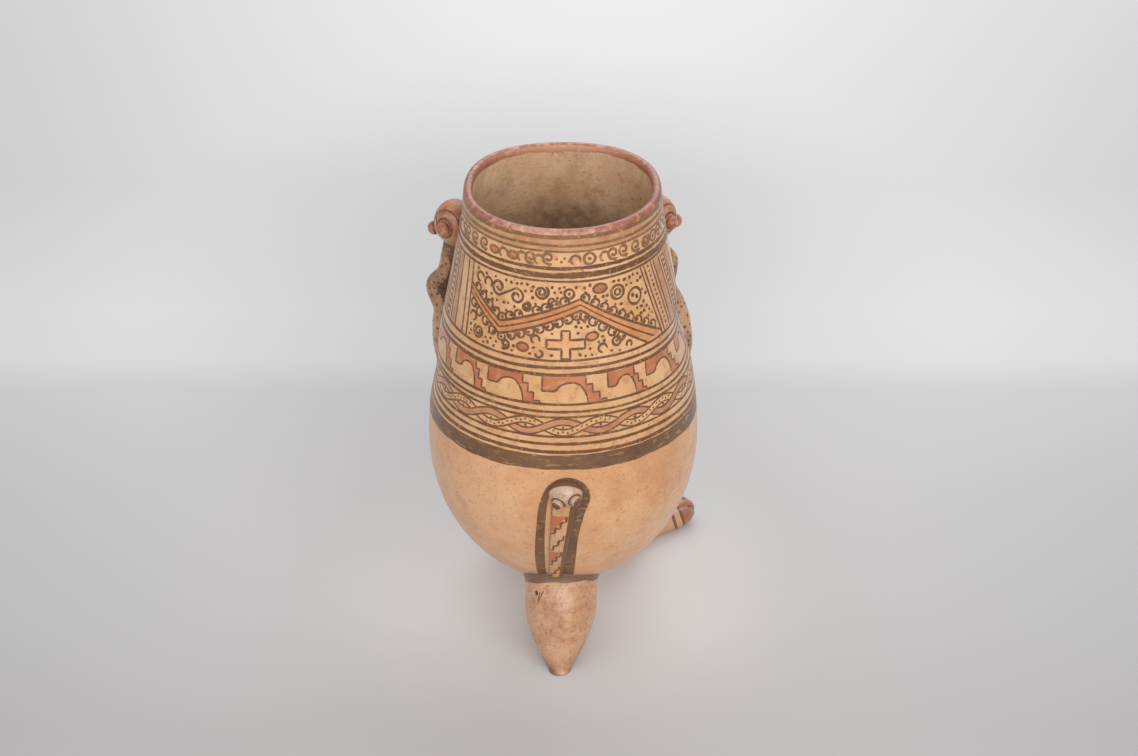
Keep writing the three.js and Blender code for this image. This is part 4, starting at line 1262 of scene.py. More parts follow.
@dataclass
class Leg:
    """Hollow leg: rings about a straight slanted line, swelling towards the jar, with a vent."""

    jar: Jar
    name: str
    azimuth: float
    reach: float
    splay: float
    low: float
    high: float
    floor: float
    start: float | None = None
    bulge_rise: float = 46.0
    wall: float = 5.0
    seat: float = 2.5
    vent_at: float = 52.0
    vent_turn: float = -41.0
    vent_radius: float = 1.8
    vent_depth: float = 4.6
    collar: float = 3.6
    flare: float = 1.7
    flare_reach: float = 2.4
    floor_round: float = 9.0
    # Cracks beside the vent: from right and up to right and up, seen from outside.
    cracks: Rows = ((3.2, 0.4, 1.6, -7.4), (6.2, 1.6, 2.4, -4.6))
    ground: Array = field(init=False)
    along: Array = field(init=False)
    out: Array = field(init=False)
    across: Array = field(init=False)
    turn: Array = field(init=False)

    def __post_init__(self) -> None:
        """Set the leg's line, its two cross directions and the turns of its side lines in radians.

        The side lines are closer about the vent.
        """
        self.ground = heading(self.azimuth) * self.reach
        self.along = heading(self.azimuth + 180, 90 - self.splay)
        self.out = heading(self.azimuth, self.splay)
        self.across = np.cross(self.along, self.out)
        even = linspace(-pi, pi, 91)[:-1]
        close = radians(self.vent_turn) + linspace(-0.12, 0.34, 90)
        self.turn = np.unique(np.round(np.r_[even, close], 5))

    def girth(self, s: Array) -> Array:
        """Outside radius: a quarter sine from the lower end to the bulge, then even."""
        share = clip(s / self.bulge_rise, 0, 1)
        return self.low + (self.high - self.low) * sin(pi / 2 * share)

    def toward(self, turn: Array) -> Array:
        """Direction out of the leg at a turn round it."""
        return cos(turn)[..., None] * self.out + sin(turn)[..., None] * self.across

    def surface(self, turn: Array, s: Array, radius: Array) -> Array:
        """Points at a turn round the leg, a distance up it and a radius."""
        return self.ground + s[..., None] * self.along + radius[..., None] * self.toward(turn)

    def meets(self, inset: float) -> Array:
        """Find where each side line lies a seat's depth inside the jar wall, by halving.

        Args:
            inset: Distance inside the leg's outside.

        Returns:
            Distance up the leg of each line.
        """
        near, far = full_like(self.turn, 15.0), full_like(self.turn, 160.0)
        for _ in range(30):
            s = (near + far) / 2
            inside = self.jar.clearance(self.surface(self.turn, s, self.girth(s) - inset)) < -self.seat
            near, far = where(inside, near, s), where(inside, s, far)
        return far

    def foot_line(self) -> Array:
        """Find the lower edge: at the start, or on the floor, by repeated substitution.

        Returns:
            Distance up the leg of each line.
        """
        base = full_like(self.turn, self.start or 0.0)
        for _ in range(12 if self.start is None else 0):
            base = -self.girth(base) * cos(self.turn) * self.out[2] / self.along[2]
        return base

    def crack_lines(self, turn: Array, s: Array) -> Array:
        """Amount of the short cracks beside the vent, by nearness to each straight piece.

        Args:
            turn: Turn round the leg in radians.
            s: Distance up the leg.

        Returns:
            Painted amount in the same shape.
        """
        right = (turn - radians(self.vent_turn)) * self.high
        up = s - self.vent_at
        amount = np.zeros_like(s)
        for x, y, x_end, y_end in self.cracks:
            dx, dy = x_end - x, y_end - y
            share = clip(((right - x) * dx + (up - y) * dy) / (dx**2 + dy**2), 0, 1)
            off = hypot(right - x - share * dx, up - y - share * dy)
            amount = maximum(amount, 0.62 * ramp(off, 0.55, 0.2))
        return amount

    def hollow(self) -> Array:
        """Inside of the leg, from its mouth down to a floor rounded by a quarter circle.

        Returns:
            Points as (rows, lines, 3), narrowed by sqrt(1 - (1 - share)^2) over the floor's rounding.
        """
        foot = self.floor + 0.15
        s = foot + linspace(1, 0, 40)[:, None] ** 1.6 * (self.meets(self.wall) - foot)
        share = clip((s - self.floor) / self.floor_round, 0, 1)
        bore = (self.girth(s) - self.wall) * sqrt(1 - (1 - share) ** 2)
        return self.surface(broadcast_to(self.turn, s.shape), s, bore)

    def build(self) -> None:
        """Make the outer wall with its vent pit and the hollow, as one closed shell.

        Its rows are closer about the vent. Where it nears the jar it flares out by exp(-gap / reach).
        """
        vent = radians(self.vent_turn)
        base, end = self.foot_line(), self.meets(0.0)
        here = np.argmin(abs(self.turn - vent))
        vent_share = (self.vent_at - base[here]) / (end[here] - base[here])
        u = np.r_[linspace(0, 1, 80), vent_share + linspace(-0.16, 0.06, 70)]
        s = base + np.unique(np.round(u, 5))[:, None] * (end - base)
        grid = broadcast_to(self.turn, s.shape)
        radius = self.girth(s) + 0.3 * sin(3 * grid + s / 17) * ramp(s, 5, 25)
        gap = self.jar.clearance(self.surface(grid, s, radius))
        radius = radius + self.flare * exp(-maximum(gap, 0.0) / self.flare_reach)
        outer = self.surface(grid, s, radius)
        bore = self.toward(vent)
        away = outer - (self.ground + self.vent_at * self.along)
        ahead = away @ bore
        off = np.linalg.norm(away - ahead[..., None] * bore, axis=-1)
        pit = clip((self.vent_radius - off) / 0.4, 0, 1) * (ahead > 0)
        outer = outer - (self.vent_depth * pit)[..., None] * bore
        edge = self.collar + 1.3 * cos(grid) - 1.2 * sin(grid) + 0.4 * sin(7 * grid)
        # The tip is darker towards the floor, more on one side.
        tip_darkening = 0.8 - 0.2 * sin(2 * grid + 0.5)
        # Painted shade: the vent pit is painted dark; the short cracks beside it are dark lines.
        marks = {"collar": ramp(gap - edge, 1.4, -1.4),
                 "soot": pit + self.crack_lines(grid, s) * (ahead > 0),
                 "tip": ramp(outer[..., 2] - 2 * sin(3 * grid), 15.0, 2.0) * tip_darkening}
        inner = self.hollow()
        blank = zeros(inner.shape[:2])
        marks = {key: vstack([painted, blank]) for key, painted in marks.items()}
        patch = tube(vstack([outer, inner]), **marks)
        add_piece(self.name + "_fired", [patch], (Finish.LEG,), "buff_clay", self.name)


@dataclass
class Foot:
    """Loaf-shaped foot with a flat sole and toes parted by painted grooves."""

    leg: Leg
    name: str
    turn: float
    length: float = 79.0
    half_width: float = 16.5
    height: float = 19.0
    core: float = 8.0
    heel: float = 19.0
    toes: int = 4
    groove: float = 1.5
    toe_gap: float = 2.4
    stripes: tuple[float, float] = (0.72, 0.81)

    def build(self) -> None:
        """Carry an oval along the foot, pull in the grooves between the toes and flatten the sole.

        With t from heel to toe, the oval narrows at both ends by (1 - |2t - 1|^3.2)^(1 / 2.6).
        """
        ahead = heading(self.leg.azimuth + self.turn)
        side = array([-ahead[1], ahead[0], 0.0])
        t, a = linspace(0.003, 0.997, 90)[:, None], circle(72)
        swell = 0.82 + 0.18 * sin(pi * minimum(1, 0.85 * t)) - 0.20 * bell(t - 0.56, 0.17)
        round_off = (1 - abs(2 * t - 1) ** 3.2) ** (1 / 2.6)
        across = self.half_width * swell * round_off * cos(a)
        rise = (self.height - self.core) * round_off * sin(a)
        lines = (arange(1, self.toes) / self.toes - 0.5) * 2
        near = bell((across / (self.half_width * 0.98))[..., None] - lines, 0.085).sum(-1)
        part = near * ramp(t, 0.60, 0.78)
        fall = part * self.groove * clip(sin(a) + 0.45, 0, 1)
        forward = self.length * t - self.heel - self.toe_gap * part * ramp(t, 0.9, 0.99)
        points = self.leg.ground + forward[..., None] * ahead + across[..., None] * side
        points[..., 2] = maximum(self.core + rise - fall, 0.0)
        slant = t + 0.05 * cos(a) ** 2 + 0.04 * sin(a)
        bands = sum(band(slant, at, 0.019, 0.009) for at in self.stripes)
        stripe = clip(0.8 * part * ramp(t, 0.84, 0.9) + bands, 0, 1)
        pale = 0.9 * ramp(slant, 0.82, 0.80) * ramp(slant, 0.2, 0.3)
        patch = tube(points, stripe=stripe, pale=pale)
        add_piece(self.name + "_slipped", [patch], (Finish.RED,), "red_slip", self.name)


# Arms

@dataclass
class Arm:
    """Arm raised beside the neck: a coil through stations on the wall, with a beaded paw.

    A station is an azimuth, a drop below the lip, a distance off the wall and a radius.
    """

    jar: Jar
    name: str
    side: int
    stations: Rows
    rows: int = 130
    paw_half_width: float = 14.0
    paw_half_height: float = 16.5
    paw_narrowing: float = 0.26
    digits: tuple[float, ...] = (238.0, 262.0, 286.0, 310.0)
    digit_depth: float = 1.1
    bead_radius: float = 4.6
    bead_hollow: float = 0.9
    # Beads on the paw: turn from the arm's azimuth and lift, in degrees.
    beads: Rows = ((83.0, 6.0), (19.0, -14.0))

    def path(self) -> Array:
        """Carry a smooth path through the stations.

        Returns:
            Middle and radius of the coil as (rows, 4).
        """
        azimuth, drop, standoff, girth = array(self.stations).T
        turn, z = radians(azimuth), self.jar.height - drop
        reach = self.jar.radius(z) + standoff
        return smooth_path(stack([reach * cos(turn), reach * sin(turn), z, girth], 1), self.rows)

    def build_arm(self) -> None:
        """Make the coil: circles square to its path.

        Where the coil stands off the wall, a thin web closes its inner bend: its inner side is drawn
        in by the gap times max(-sin a, 0)^3.5 at angle a round the coil. The web is painted dark as
        shade.
        """
        centre, radius = np.split(self.path(), [3], 1)
        radius = radius[:, 0]
        along = unit(np.gradient(centre, axis=0))
        across = unit(np.cross(along, unit(centre * [1, 1, 0])))
        out = np.cross(across, along)
        a, t = circle(40), linspace(0, 1, len(centre))[:, None]
        ring = cos(a)[:, None] * across[:, None] + sin(a)[:, None] * out[:, None]
        gap = hypot(centre[:, 0], centre[:, 1]) - self.jar.radius(centre[:, 2]) - radius + 1.5
        inward = maximum(gap, 0.0)[:, None] * clip(-sin(a), 0, 1) ** 3.5
        points = centre[:, None] + radius[:, None, None] * ring - inward[..., None] * out[:, None]
        # Darker forearm and wrist, plus painted shade round the web in the inner bend (the last term).
        shade = (ramp(t, 0.56, 0.62) * (0.65 + 0.35 * sin(23 * t)) + band(t, 0.84, 0.07, 0.03)
                 + 0.8 * ramp(inward, 0.0, 0.5))
        pelt = broadcast_to(1 - 0.6 * ramp(t, 0.74, 0.86), inward.shape)
        # Painted shade: the web in the inner bend is painted dark.
        crook = ramp(inward, 0.1, 1.6) * ramp(t, 0.9, 0.8)
        patch = tube(self.jar.press(points), crook=crook, pelt=pelt, shade=shade)
        node = self.name + "_arm"
        add_piece(node + "_painted", [patch], (Finish.ARM,), "buff_clay", node)

    def build_paw(self) -> None:
        """Make the paw, a narrowing oval with digits pressed in, and its hollowed beads."""
        middle, azimuth = self.path()[-1, :3], self.stations[-1][0]
        radii = array([self.paw_half_width, self.paw_half_width, self.paw_half_height])
        rings = ball(middle, radii, 64, 88)
        out = (rings - middle) / radii
        up = out[..., 2]
        narrow = 1 - self.paw_narrowing * ramp(-up, 0.1, 1.0)
        rings = middle + (rings - middle) * stack([narrow, narrow, np.ones_like(narrow)], -1)
        round_it = (degrees(arctan2(out[..., 1], out[..., 0])) - azimuth) * self.side % 360
        digits = (sum(band(round_it, at, 6.5, 3.0) for at in self.digits)
                  * ramp(up, -0.55, -0.35) * ramp(up, 0.72, 0.5))
        rings = rings - (self.digit_depth * digits)[..., None] * out
        lines = [digits]
        for number, (turn, lift) in enumerate(self.beads, 1):
            toward = heading(azimuth + self.side * turn, lift)
            apart = angle_from(out, toward)
            above = ramp(up, toward[2], toward[2] + 0.15)
            lines += [band(apart, 24.0, 4.0, 2.0), band(apart, 46.0, 3.2, 1.6) * above]
            place = middle + toward * radii
            bead = ball(place, full(3, self.bead_radius), 22, 30)
            off = np.linalg.norm((bead - place) / self.bead_radius - toward, axis=-1)
            bead = bead - (self.bead_hollow * clip(1 - off / 0.45, 0, 1))[..., None] * toward
            rim = ramp(np.linalg.norm((bead - middle) / radii, axis=-1), 1.12, 1.02)
            patch = tube(self.jar.press(bead), line=rim)
            node = "%s_paw_bead_%d" % (self.name, number)
            add_piece(node + "_painted", [patch], (Finish.PAW,), "red_slip", node)
        patch = tube(self.jar.press(rings), line=np.max(lines, axis=0), pale=0.9 * ramp(-up, 0.05, 0.3))
        node = self.name + "_paw"
        add_piece(node + "_painted", [patch], (Finish.PAW,), "red_slip", node)

    def build(self) -> None:
        """Make the arm, then the beads and the paw at its end."""
        self.build_arm()
        self.build_paw()


# Tail

@dataclass
class Tail:
    """Tapering strap up the back of the bowl with a knob and two beads, outlined in dark slip."""

    jar: Jar
    top_azimuth: float = 91.3
    foot_azimuth: float = 86.0
    top: float = 150.0
    foot: float = 70.0
    top_half_width: float = 8.5
    foot_half_width: float = 4.5
    relief: float = 4.0
    units: int = 5
    knob: Triple = (11.0, 9.0, 9.5)
    bead_radius: float = 3.7
    bead_hollow: float = 1.4
    # Beads on the knob: turn and lift in degrees, and how dark the slip in the hollow is.
    beads: Rows = ((33.0, -24.0, 0.85), (-35.0, -8.0, 0.62))
    # Edges of the dark outline: azimuth in degrees and height, from foot to foot.
    outer_edge: Rows = (
        (74.6, 68.0), (76.6, 95.0), (78.6, 120.0), (80.2, 140.0), (84.0, 155.0), (91.2, 161.4),
        (98.6, 157.0), (101.6, 146.0), (99.0, 132.0), (96.8, 112.0), (96.4, 90.0), (96.4, 68.0))
    inner_edge: Rows = (
        (80.2, 68.0), (81.4, 95.0), (82.4, 120.0), (83.6, 140.0), (85.6, 151.0), (91.2, 156.6),
        (96.4, 152.5), (97.0, 144.0), (94.4, 132.0), (92.2, 112.0), (90.4, 90.0), (88.6, 68.0))

    def on_strap(self, t: Array, across: Array) -> tuple[Array, Array]:
        """Place on the wall under a point of the strap.

        Args:
            t: Share from foot to top.
            across: Share of the half width, positive to the right.

        Returns:
            Azimuth in radians and height.
        """
        z = self.foot + (self.top - self.foot) * t
        middle = radians(self.foot_azimuth + (self.top_azimuth - self.foot_azimuth) * t)
        half = self.foot_half_width + (self.top_half_width - self.foot_half_width) * t
        return middle + half * across / self.jar.radius(z), z

    def proud(self, across: Array) -> Array:
        """Height of the strap over the wall at a share of its half width: a full, rounded arch."""
        return self.relief * maximum(1 - across**2, 0.0) ** 0.35

    def build_strap(self) -> None:
        """Make the strap with a dark right side and red stepped frets on every second unit."""
        t, a = linspace(0, 1, 150)[:, None], circle(72)
        lift = np.sign(sin(a)) * self.proud(cos(a))
        azimuth, z = self.on_strap(t, cos(a))
        points = self.jar.point(azimuth, z + 0 * a, maximum(lift, -2.0))
        across = cos(a) + 0 * t
        front = sin(a) > -0.1
        dark = front * maximum(ramp(across, 0.40, 0.52), ramp(across, -0.86, -0.95))
        stair = -0.75 + 0.45 * np.floor(3 * ((t * self.units) % 1.0) + 0.5)
        chosen = (np.floor(t * self.units) % 2 == 1) * (t < 0.8)
        red = 0.8 * front * ramp(stair - across, 0.02, 0.2) * chosen
        patch = tube(points, line=dark, red=red)
        add_piece("tail_strap_painted", [patch], (Finish.TAIL,), "cream_slip", "tail_strap")

    def build_stairs(self) -> None:
        """Paint dark stepped lines that climb the strap from its left edge to its right."""
        brush = Brush(self.jar, Finish.DARK)
        path = line((-0.9, 0.02), (-0.52, 0.10), (-0.52, 0.34), (-0.1, 0.40), (-0.1, 0.66), (0.3, 0.72),
                    (0.3, 0.98), step=0.06)
        for number in range(self.units - 1):
            place = self.on_strap((number + path[:, 1]) / self.units, path[:, 0])
            brush.stroke(stack(place, 1), 1.4, lift=self.proud(path[:, 0]) + 0.12)
        brush.join("painted_tail_stairs", "dark_slip")

    def build_knob(self) -> None:
        """Make the knob and its two beads, each with a dark hollow and a ring of slip round it."""
        centre = heading(self.top_azimuth) * self.jar.radius(self.top) + [0, 0, self.top]
        rings = ball(centre, self.knob, 60, 80)
        out = (rings - centre) / self.knob
        lines = [ramp(hypot(out[..., 0] / 1.02, (out[..., 2] + 0.12) / 0.97), 0.96, 1.06)]
        for number, (turn, lift, dark) in enumerate(self.beads, 1):
            toward = heading(self.top_azimuth - turn, lift)
            lines.append(0.8 * band(angle_from(out, toward), 25.0, 6.0, 3.0))
            place = centre + toward * self.knob
            bead = ball(place, full(3, self.bead_radius), 36, 44)
            facing = (bead - place) @ toward / self.bead_radius
            bead = bead - (self.bead_hollow * ramp(facing, 0.80, 0.97))[..., None] * toward
            patch = tube(bead, line=dark * ramp(facing, 0.35, 0.6))
            node = "tail_bead_%d" % number
            add_piece(node + "_slipped", [patch], (Finish.KNOB,), "dark_slip", node)
        patch = tube(self.jar.press(rings, 2.0), line=np.max(lines, axis=0))
        add_piece("tail_knob_slipped", [patch], (Finish.KNOB,), "cream_slip", "tail_knob")

    def build_outline(self) -> None:
        """Paint the broad dark outline on the wall round strap and knob."""
        brush = Brush(self.jar, Finish.BELLY, 0.08)
        edges = (smooth_path(array(edge), 150) for edge in (self.outer_edge, self.inner_edge))
        brush.film(*(edge * [radians(1.0), 1.0] for edge in edges), 7)
        brush.join("painted_tail_outline", "dark_slip")

    def build(self) -> None:
        """Make all pieces of the tail."""
        self.build_strap()
        self.build_stairs()
        self.build_knob()
        self.build_outline()


# Head

@dataclass
class Head:
    """Feline head on the front: skull with neck, muzzle, open jaw, fangs, tongue, eyes and ears.

    Its own terms are across (to the feline's left), forward (-Y) and rise from the skull's middle.
    """

    jar: Jar
    drop: float = 80.0
    standoff: float = 34.0
    half: Triple = (37.0, 33.0, 31.0)
    neck_radius: float = 25.0
    neck_flare: float = 2.0
    mouth_half_width: float = 15.0
    mouth_top: float = -4.0
    mouth_bottom: float = -15.0
    mouth_depth: float = 16.0
    snout: Triple = (22.0, 24.0, 14.0)
    snout_forward: float = 27.0
    jaw: Triple = (19.0, 24.0, 11.0)
    jaw_forward: float = 24.0
    nose: Triple = (8.0, 5.5, 5.5)
    nose_lift: float = 35.0
    tongue_half_width: float = 5.5
    tongue_back: float = 20.0
    tongue_length: float = 30.0
    # Fangs: level, across, forward, radius, rise, and the mouth's edge it grows from.
    fangs: tuple[tuple[str, float, float, float, float, float], ...] = (
        ("upper", 12.0, 43.0, 2.6, -9.0, mouth_top + 0.8),
        ("lower", 9.0, 37.0, 2.4, 8.0, mouth_bottom - 2.0))
    eye_radius: float = 6.5
    eye_turn: float = 38.0
    eye_lift: float = 36.0
    lid_radius: float = 2.0
    ear_turn: float = 90.0
    ear_lift: float = 52.0
    ear: Triple = (11.0, 15.0, 5.5)
    ear_dish: float = 5.0
    wall_reach: float = field(init=False)
    middle: Array = field(init=False)

    def __post_init__(self) -> None:
        """Place the middle of the head."""
        height = self.jar.height - self.drop
        self.wall_reach = float(self.jar.radius(height))
        self.middle = array([0.0, -(self.wall_reach + self.standoff), height])

    def at(self, across: Array | float, forward: Array | float, rise: Array | float) -> Array:
        """Points in the head's own terms."""
        return self.middle + stack(np.broadcast_arrays(across, -np.asarray(forward), rise), -1)

    def on_skull(self, turn: float, lift: float) -> tuple[Array, Array]:
        """A point on the skull at a turn and lift in degrees, and the outward direction there."""
        out = heading(-90 + turn, lift)
        return self.middle + out * self.half, unit(out / self.half)

    def build_skull(self) -> None:
        """Make rings from nose to neck: the wider of skull and neck, with a mouth pit."""
        wide, long, tall = self.half
        u, a = linspace(0.004, 1, 130)[:, None], circle(120)
        on_wall = sqrt((self.wall_reach - 2.6) ** 2 - (self.neck_radius * cos(a)) ** 2)
        y = -long * 0.9995 + (self.wall_reach + self.standoff - on_wall + long) * u
        oval = sqrt(clip(1 - minimum(abs(y) / long, 0.9999) ** 2, 0, 1))
        neck = (self.neck_radius + self.neck_flare * ramp(y, 26.0, 36.0)) * ramp(y, 0.0, 12.0)
        x, z = maximum(wide * oval, neck) * cos(a), maximum(tall * oval, neck) * sin(a)
        edge = 0.8
        gape = (ramp(abs(x), self.mouth_half_width + edge, self.mouth_half_width - edge)
                * ramp(z, self.mouth_bottom - edge, self.mouth_bottom + edge)
                * ramp(z, self.mouth_top + edge, self.mouth_top - edge) * (y < -10))
        crown = ramp(z, 4.0, 9.0) * ramp(y, -26.0, -18.0) * (y < 30)
        stripe = (abs(abs(abs(x) - 7.0) - 3.0) < 1.0) * ramp(z, 12.0, 16.0) * (y > -24) * (y < 18)
        cheek = (abs(sin((z + 0.5 * y) / 3.1)) > 0.86) * (abs(x) > 22) * (y < 6) * (z < 4)
        patch = tube(self.at(x, -(y + self.mouth_depth * gape), z), pelt=crown * (1 - stripe),
                     line=maximum(stripe, cheek * 0.9), gum=gape)
        add_piece("head_painted", [patch], (Finish.PELT,), "buff_clay", "head_shell")

    def build_muzzle(self) -> None:
        """Make the snout: an oval with full cheeks, cut level at the mouth, dotted and lipped."""
        rings = ball(zeros(3), self.snout, 60, 90)
        cheeks = bell(abs(rings[..., 0]) - 11, 7)
        puff = 1 + 0.10 * cheeks * ramp(-rings[..., 1], 2, 16) * ramp(-rings[..., 2], -8, 2)
        x, y, z = np.moveaxis(rings * puff[..., None], -1, 0)
        forward, z = self.snout_forward - y, maximum(z - 1.0, self.mouth_top)
        dots = hypot((abs(x) - 8) % 5 - 2.5, (z + 2) % 4 - 2) < 0.8
        dots = dots * (forward > 36) * (abs(x) > 6)
        lip = band(z, self.mouth_top + 1.3, 1.6, 1.0) * (forward > 22)
        patch = tube(self.at(x, forward, z), line=dots, red=lip)
        add_piece("muzzle_painted", [patch], (Finish.PELT,), "buff_clay", "upper_jaw")

    def build_jaw(self) -> None:
        """Make the lower jaw, half an oval with a red lip round a sunken floor."""
        x, y, rise = np.moveaxis(ball(zeros(3), self.jaw, 50, 80), -1, 0)
        out = hypot(x / self.jaw[0], y / self.jaw[1])
        z = self.mouth_bottom + minimum(rise, 0.0) - 2.2 * ramp(out, 0.86, 0.74) * (rise > 0)
        lip = band(z, self.mouth_bottom - 1.2, 1.5, 0.9)
        gum = (rise > 0) * ramp(out, 0.86, 0.8)
        patch = tube(self.at(x, self.jaw_forward - y, z), red=lip, gum=gum)
        add_piece("lower_jaw_painted", [patch], (Finish.PELT,), "buff_clay", "lower_jaw")

    def build_nose(self) -> None:
        """Make the nose with two nostrils, pits of the form exp(-distance^2 / 2.6)."""
        tip = self.at(0, self.snout_forward, -1.0) + heading(-90, self.nose_lift) * self.snout
        rings = ball(zeros(3), self.nose, 36, 48)
        x, y, z = np.moveaxis(rings, -1, 0)
        holes = exp(-((abs(x) - 3.6) ** 2 + (z + 1.0) ** 2) / 2.6) * (y < 0)
        patch = tube(tip + rings + (2.2 * holes)[..., None] * [0, 1, 0])
        add_piece("nose_slipped", [patch], (Finish.DARK,), "dark_slip", "nose")

    def build_tongue(self) -> None:
        """Make the tongue: a flat oval carried forwards, grooved, with a drooping round tip."""
        t, a = linspace(0, 1, 60)[:, None], circle(32)
        taper = sqrt(clip(1 - ramp(t, 0.8, 1.0) ** 2 * 0.985, 0, 1))
        flat = np.sign(sin(a)) * abs(sin(a)) ** 0.5
        groove = 0.7 * bell(cos(a), 0.22) * (sin(a) > 0)
        z = self.mouth_bottom + 0.3 + 1.5 + 1.5 * flat - groove - 2.0 * ramp(t, 0.75, 1.0)
        forward = self.tongue_back + self.tongue_length * t + 0 * a
        patch = tube(self.at(self.tongue_half_width * taper * cos(a), forward, z))
        add_piece("tongue_slipped", [patch], (Finish.RED,), "red_slip", "tongue")

    def build_fangs(self) -> None:
        """Make the fangs: cones that taper by (1 - t)^0.75 and bend a little back."""
        t, a = linspace(0, 0.985, 26)[:, None], circle(24)
        for name, side in SIDES:
            for level, across, forward, girth, rise, base in self.fangs:
                radius = girth * (1 - t) ** 0.75
                points = self.at(side * across + radius * cos(a),
                                 forward + radius * sin(a) - 1.2 * t * t, base + rise * t + 0 * a)
                node = "%s_%s_fang" % (name, level)
                add_piece(node + "_slipped", [tube(points)], (Finish.CREAM,), "cream_slip", node)

    def build_eyes(self) -> None:
        """Make bead eyes with a dark pupil, and a coil round each as the lid."""
        a, b = circle(48), circle(72)[:, None]
        for name, side in SIDES:
            place, out = self.on_skull(side * self.eye_turn, self.eye_lift)
            rings = ball(place, full(3, self.eye_radius), 40, 56)
            pupil = ramp((rings - place) @ out / self.eye_radius, 0.86, 0.90)
            patch, node = tube(rings, line=pupil), name + "_eye"
            add_piece(node + "_slipped", [patch], (Finish.TAIL,), "cream_slip", node)
            across = unit(np.cross(out, [0, 0, 1.0]))
            toward = cos(b)[..., None] * across + sin(b)[..., None] * np.cross(across, out)
            reach = self.eye_radius + 0.3 + 1.2 * self.lid_radius
            thick = self.lid_radius * (1 + 0.12 * sin(b))
            lid = (place + (reach + thick * cos(a))[..., None] * toward
                   + (thick * sin(a))[..., None] * out)
            patch, node = tube(lid, True), name + "_eyelid"
            add_piece(node + "_slipped", [patch], (Finish.DARK,), "dark_slip", node)

    def build_ears(self) -> None:
        """Make rounded ears: flattened ovals dished on the front, red inside the dish."""
        wide, long, thick = self.ear
        front = array([0.0, -1.0, 0.0])
        for name, side in SIDES:
            place, out = self.on_skull(side * self.ear_turn, self.ear_lift)
            across = unit(np.cross(out, front))
            x, depth, y = np.moveaxis(ball(zeros(3), (wide, thick, long), 56, 72), -1, 0)
            dish = clip(1 - (x / (wide * 0.72)) ** 2 - ((y - 1.5) / (long * 0.72)) ** 2, 0, 1)
            dish = dish * (depth > 0)
            points = (place + x[..., None] * across + y[..., None] * out
                      + (depth - self.ear_dish * dish)[..., None] * front)
            patch = tube(points, red=ramp(dish, 0.02, 0.2))
            add_piece(name + "_ear_painted", [patch], (Finish.PELT,), "buff_clay", name + "_ear")

    def build(self) -> None:
        """Make all pieces of the head."""
        self.build_skull()
        self.build_muzzle()
        self.build_jaw()
        self.build_nose()
        self.build_tongue()
        self.build_fangs()
        self.build_eyes()
        self.build_ears()


# Studio

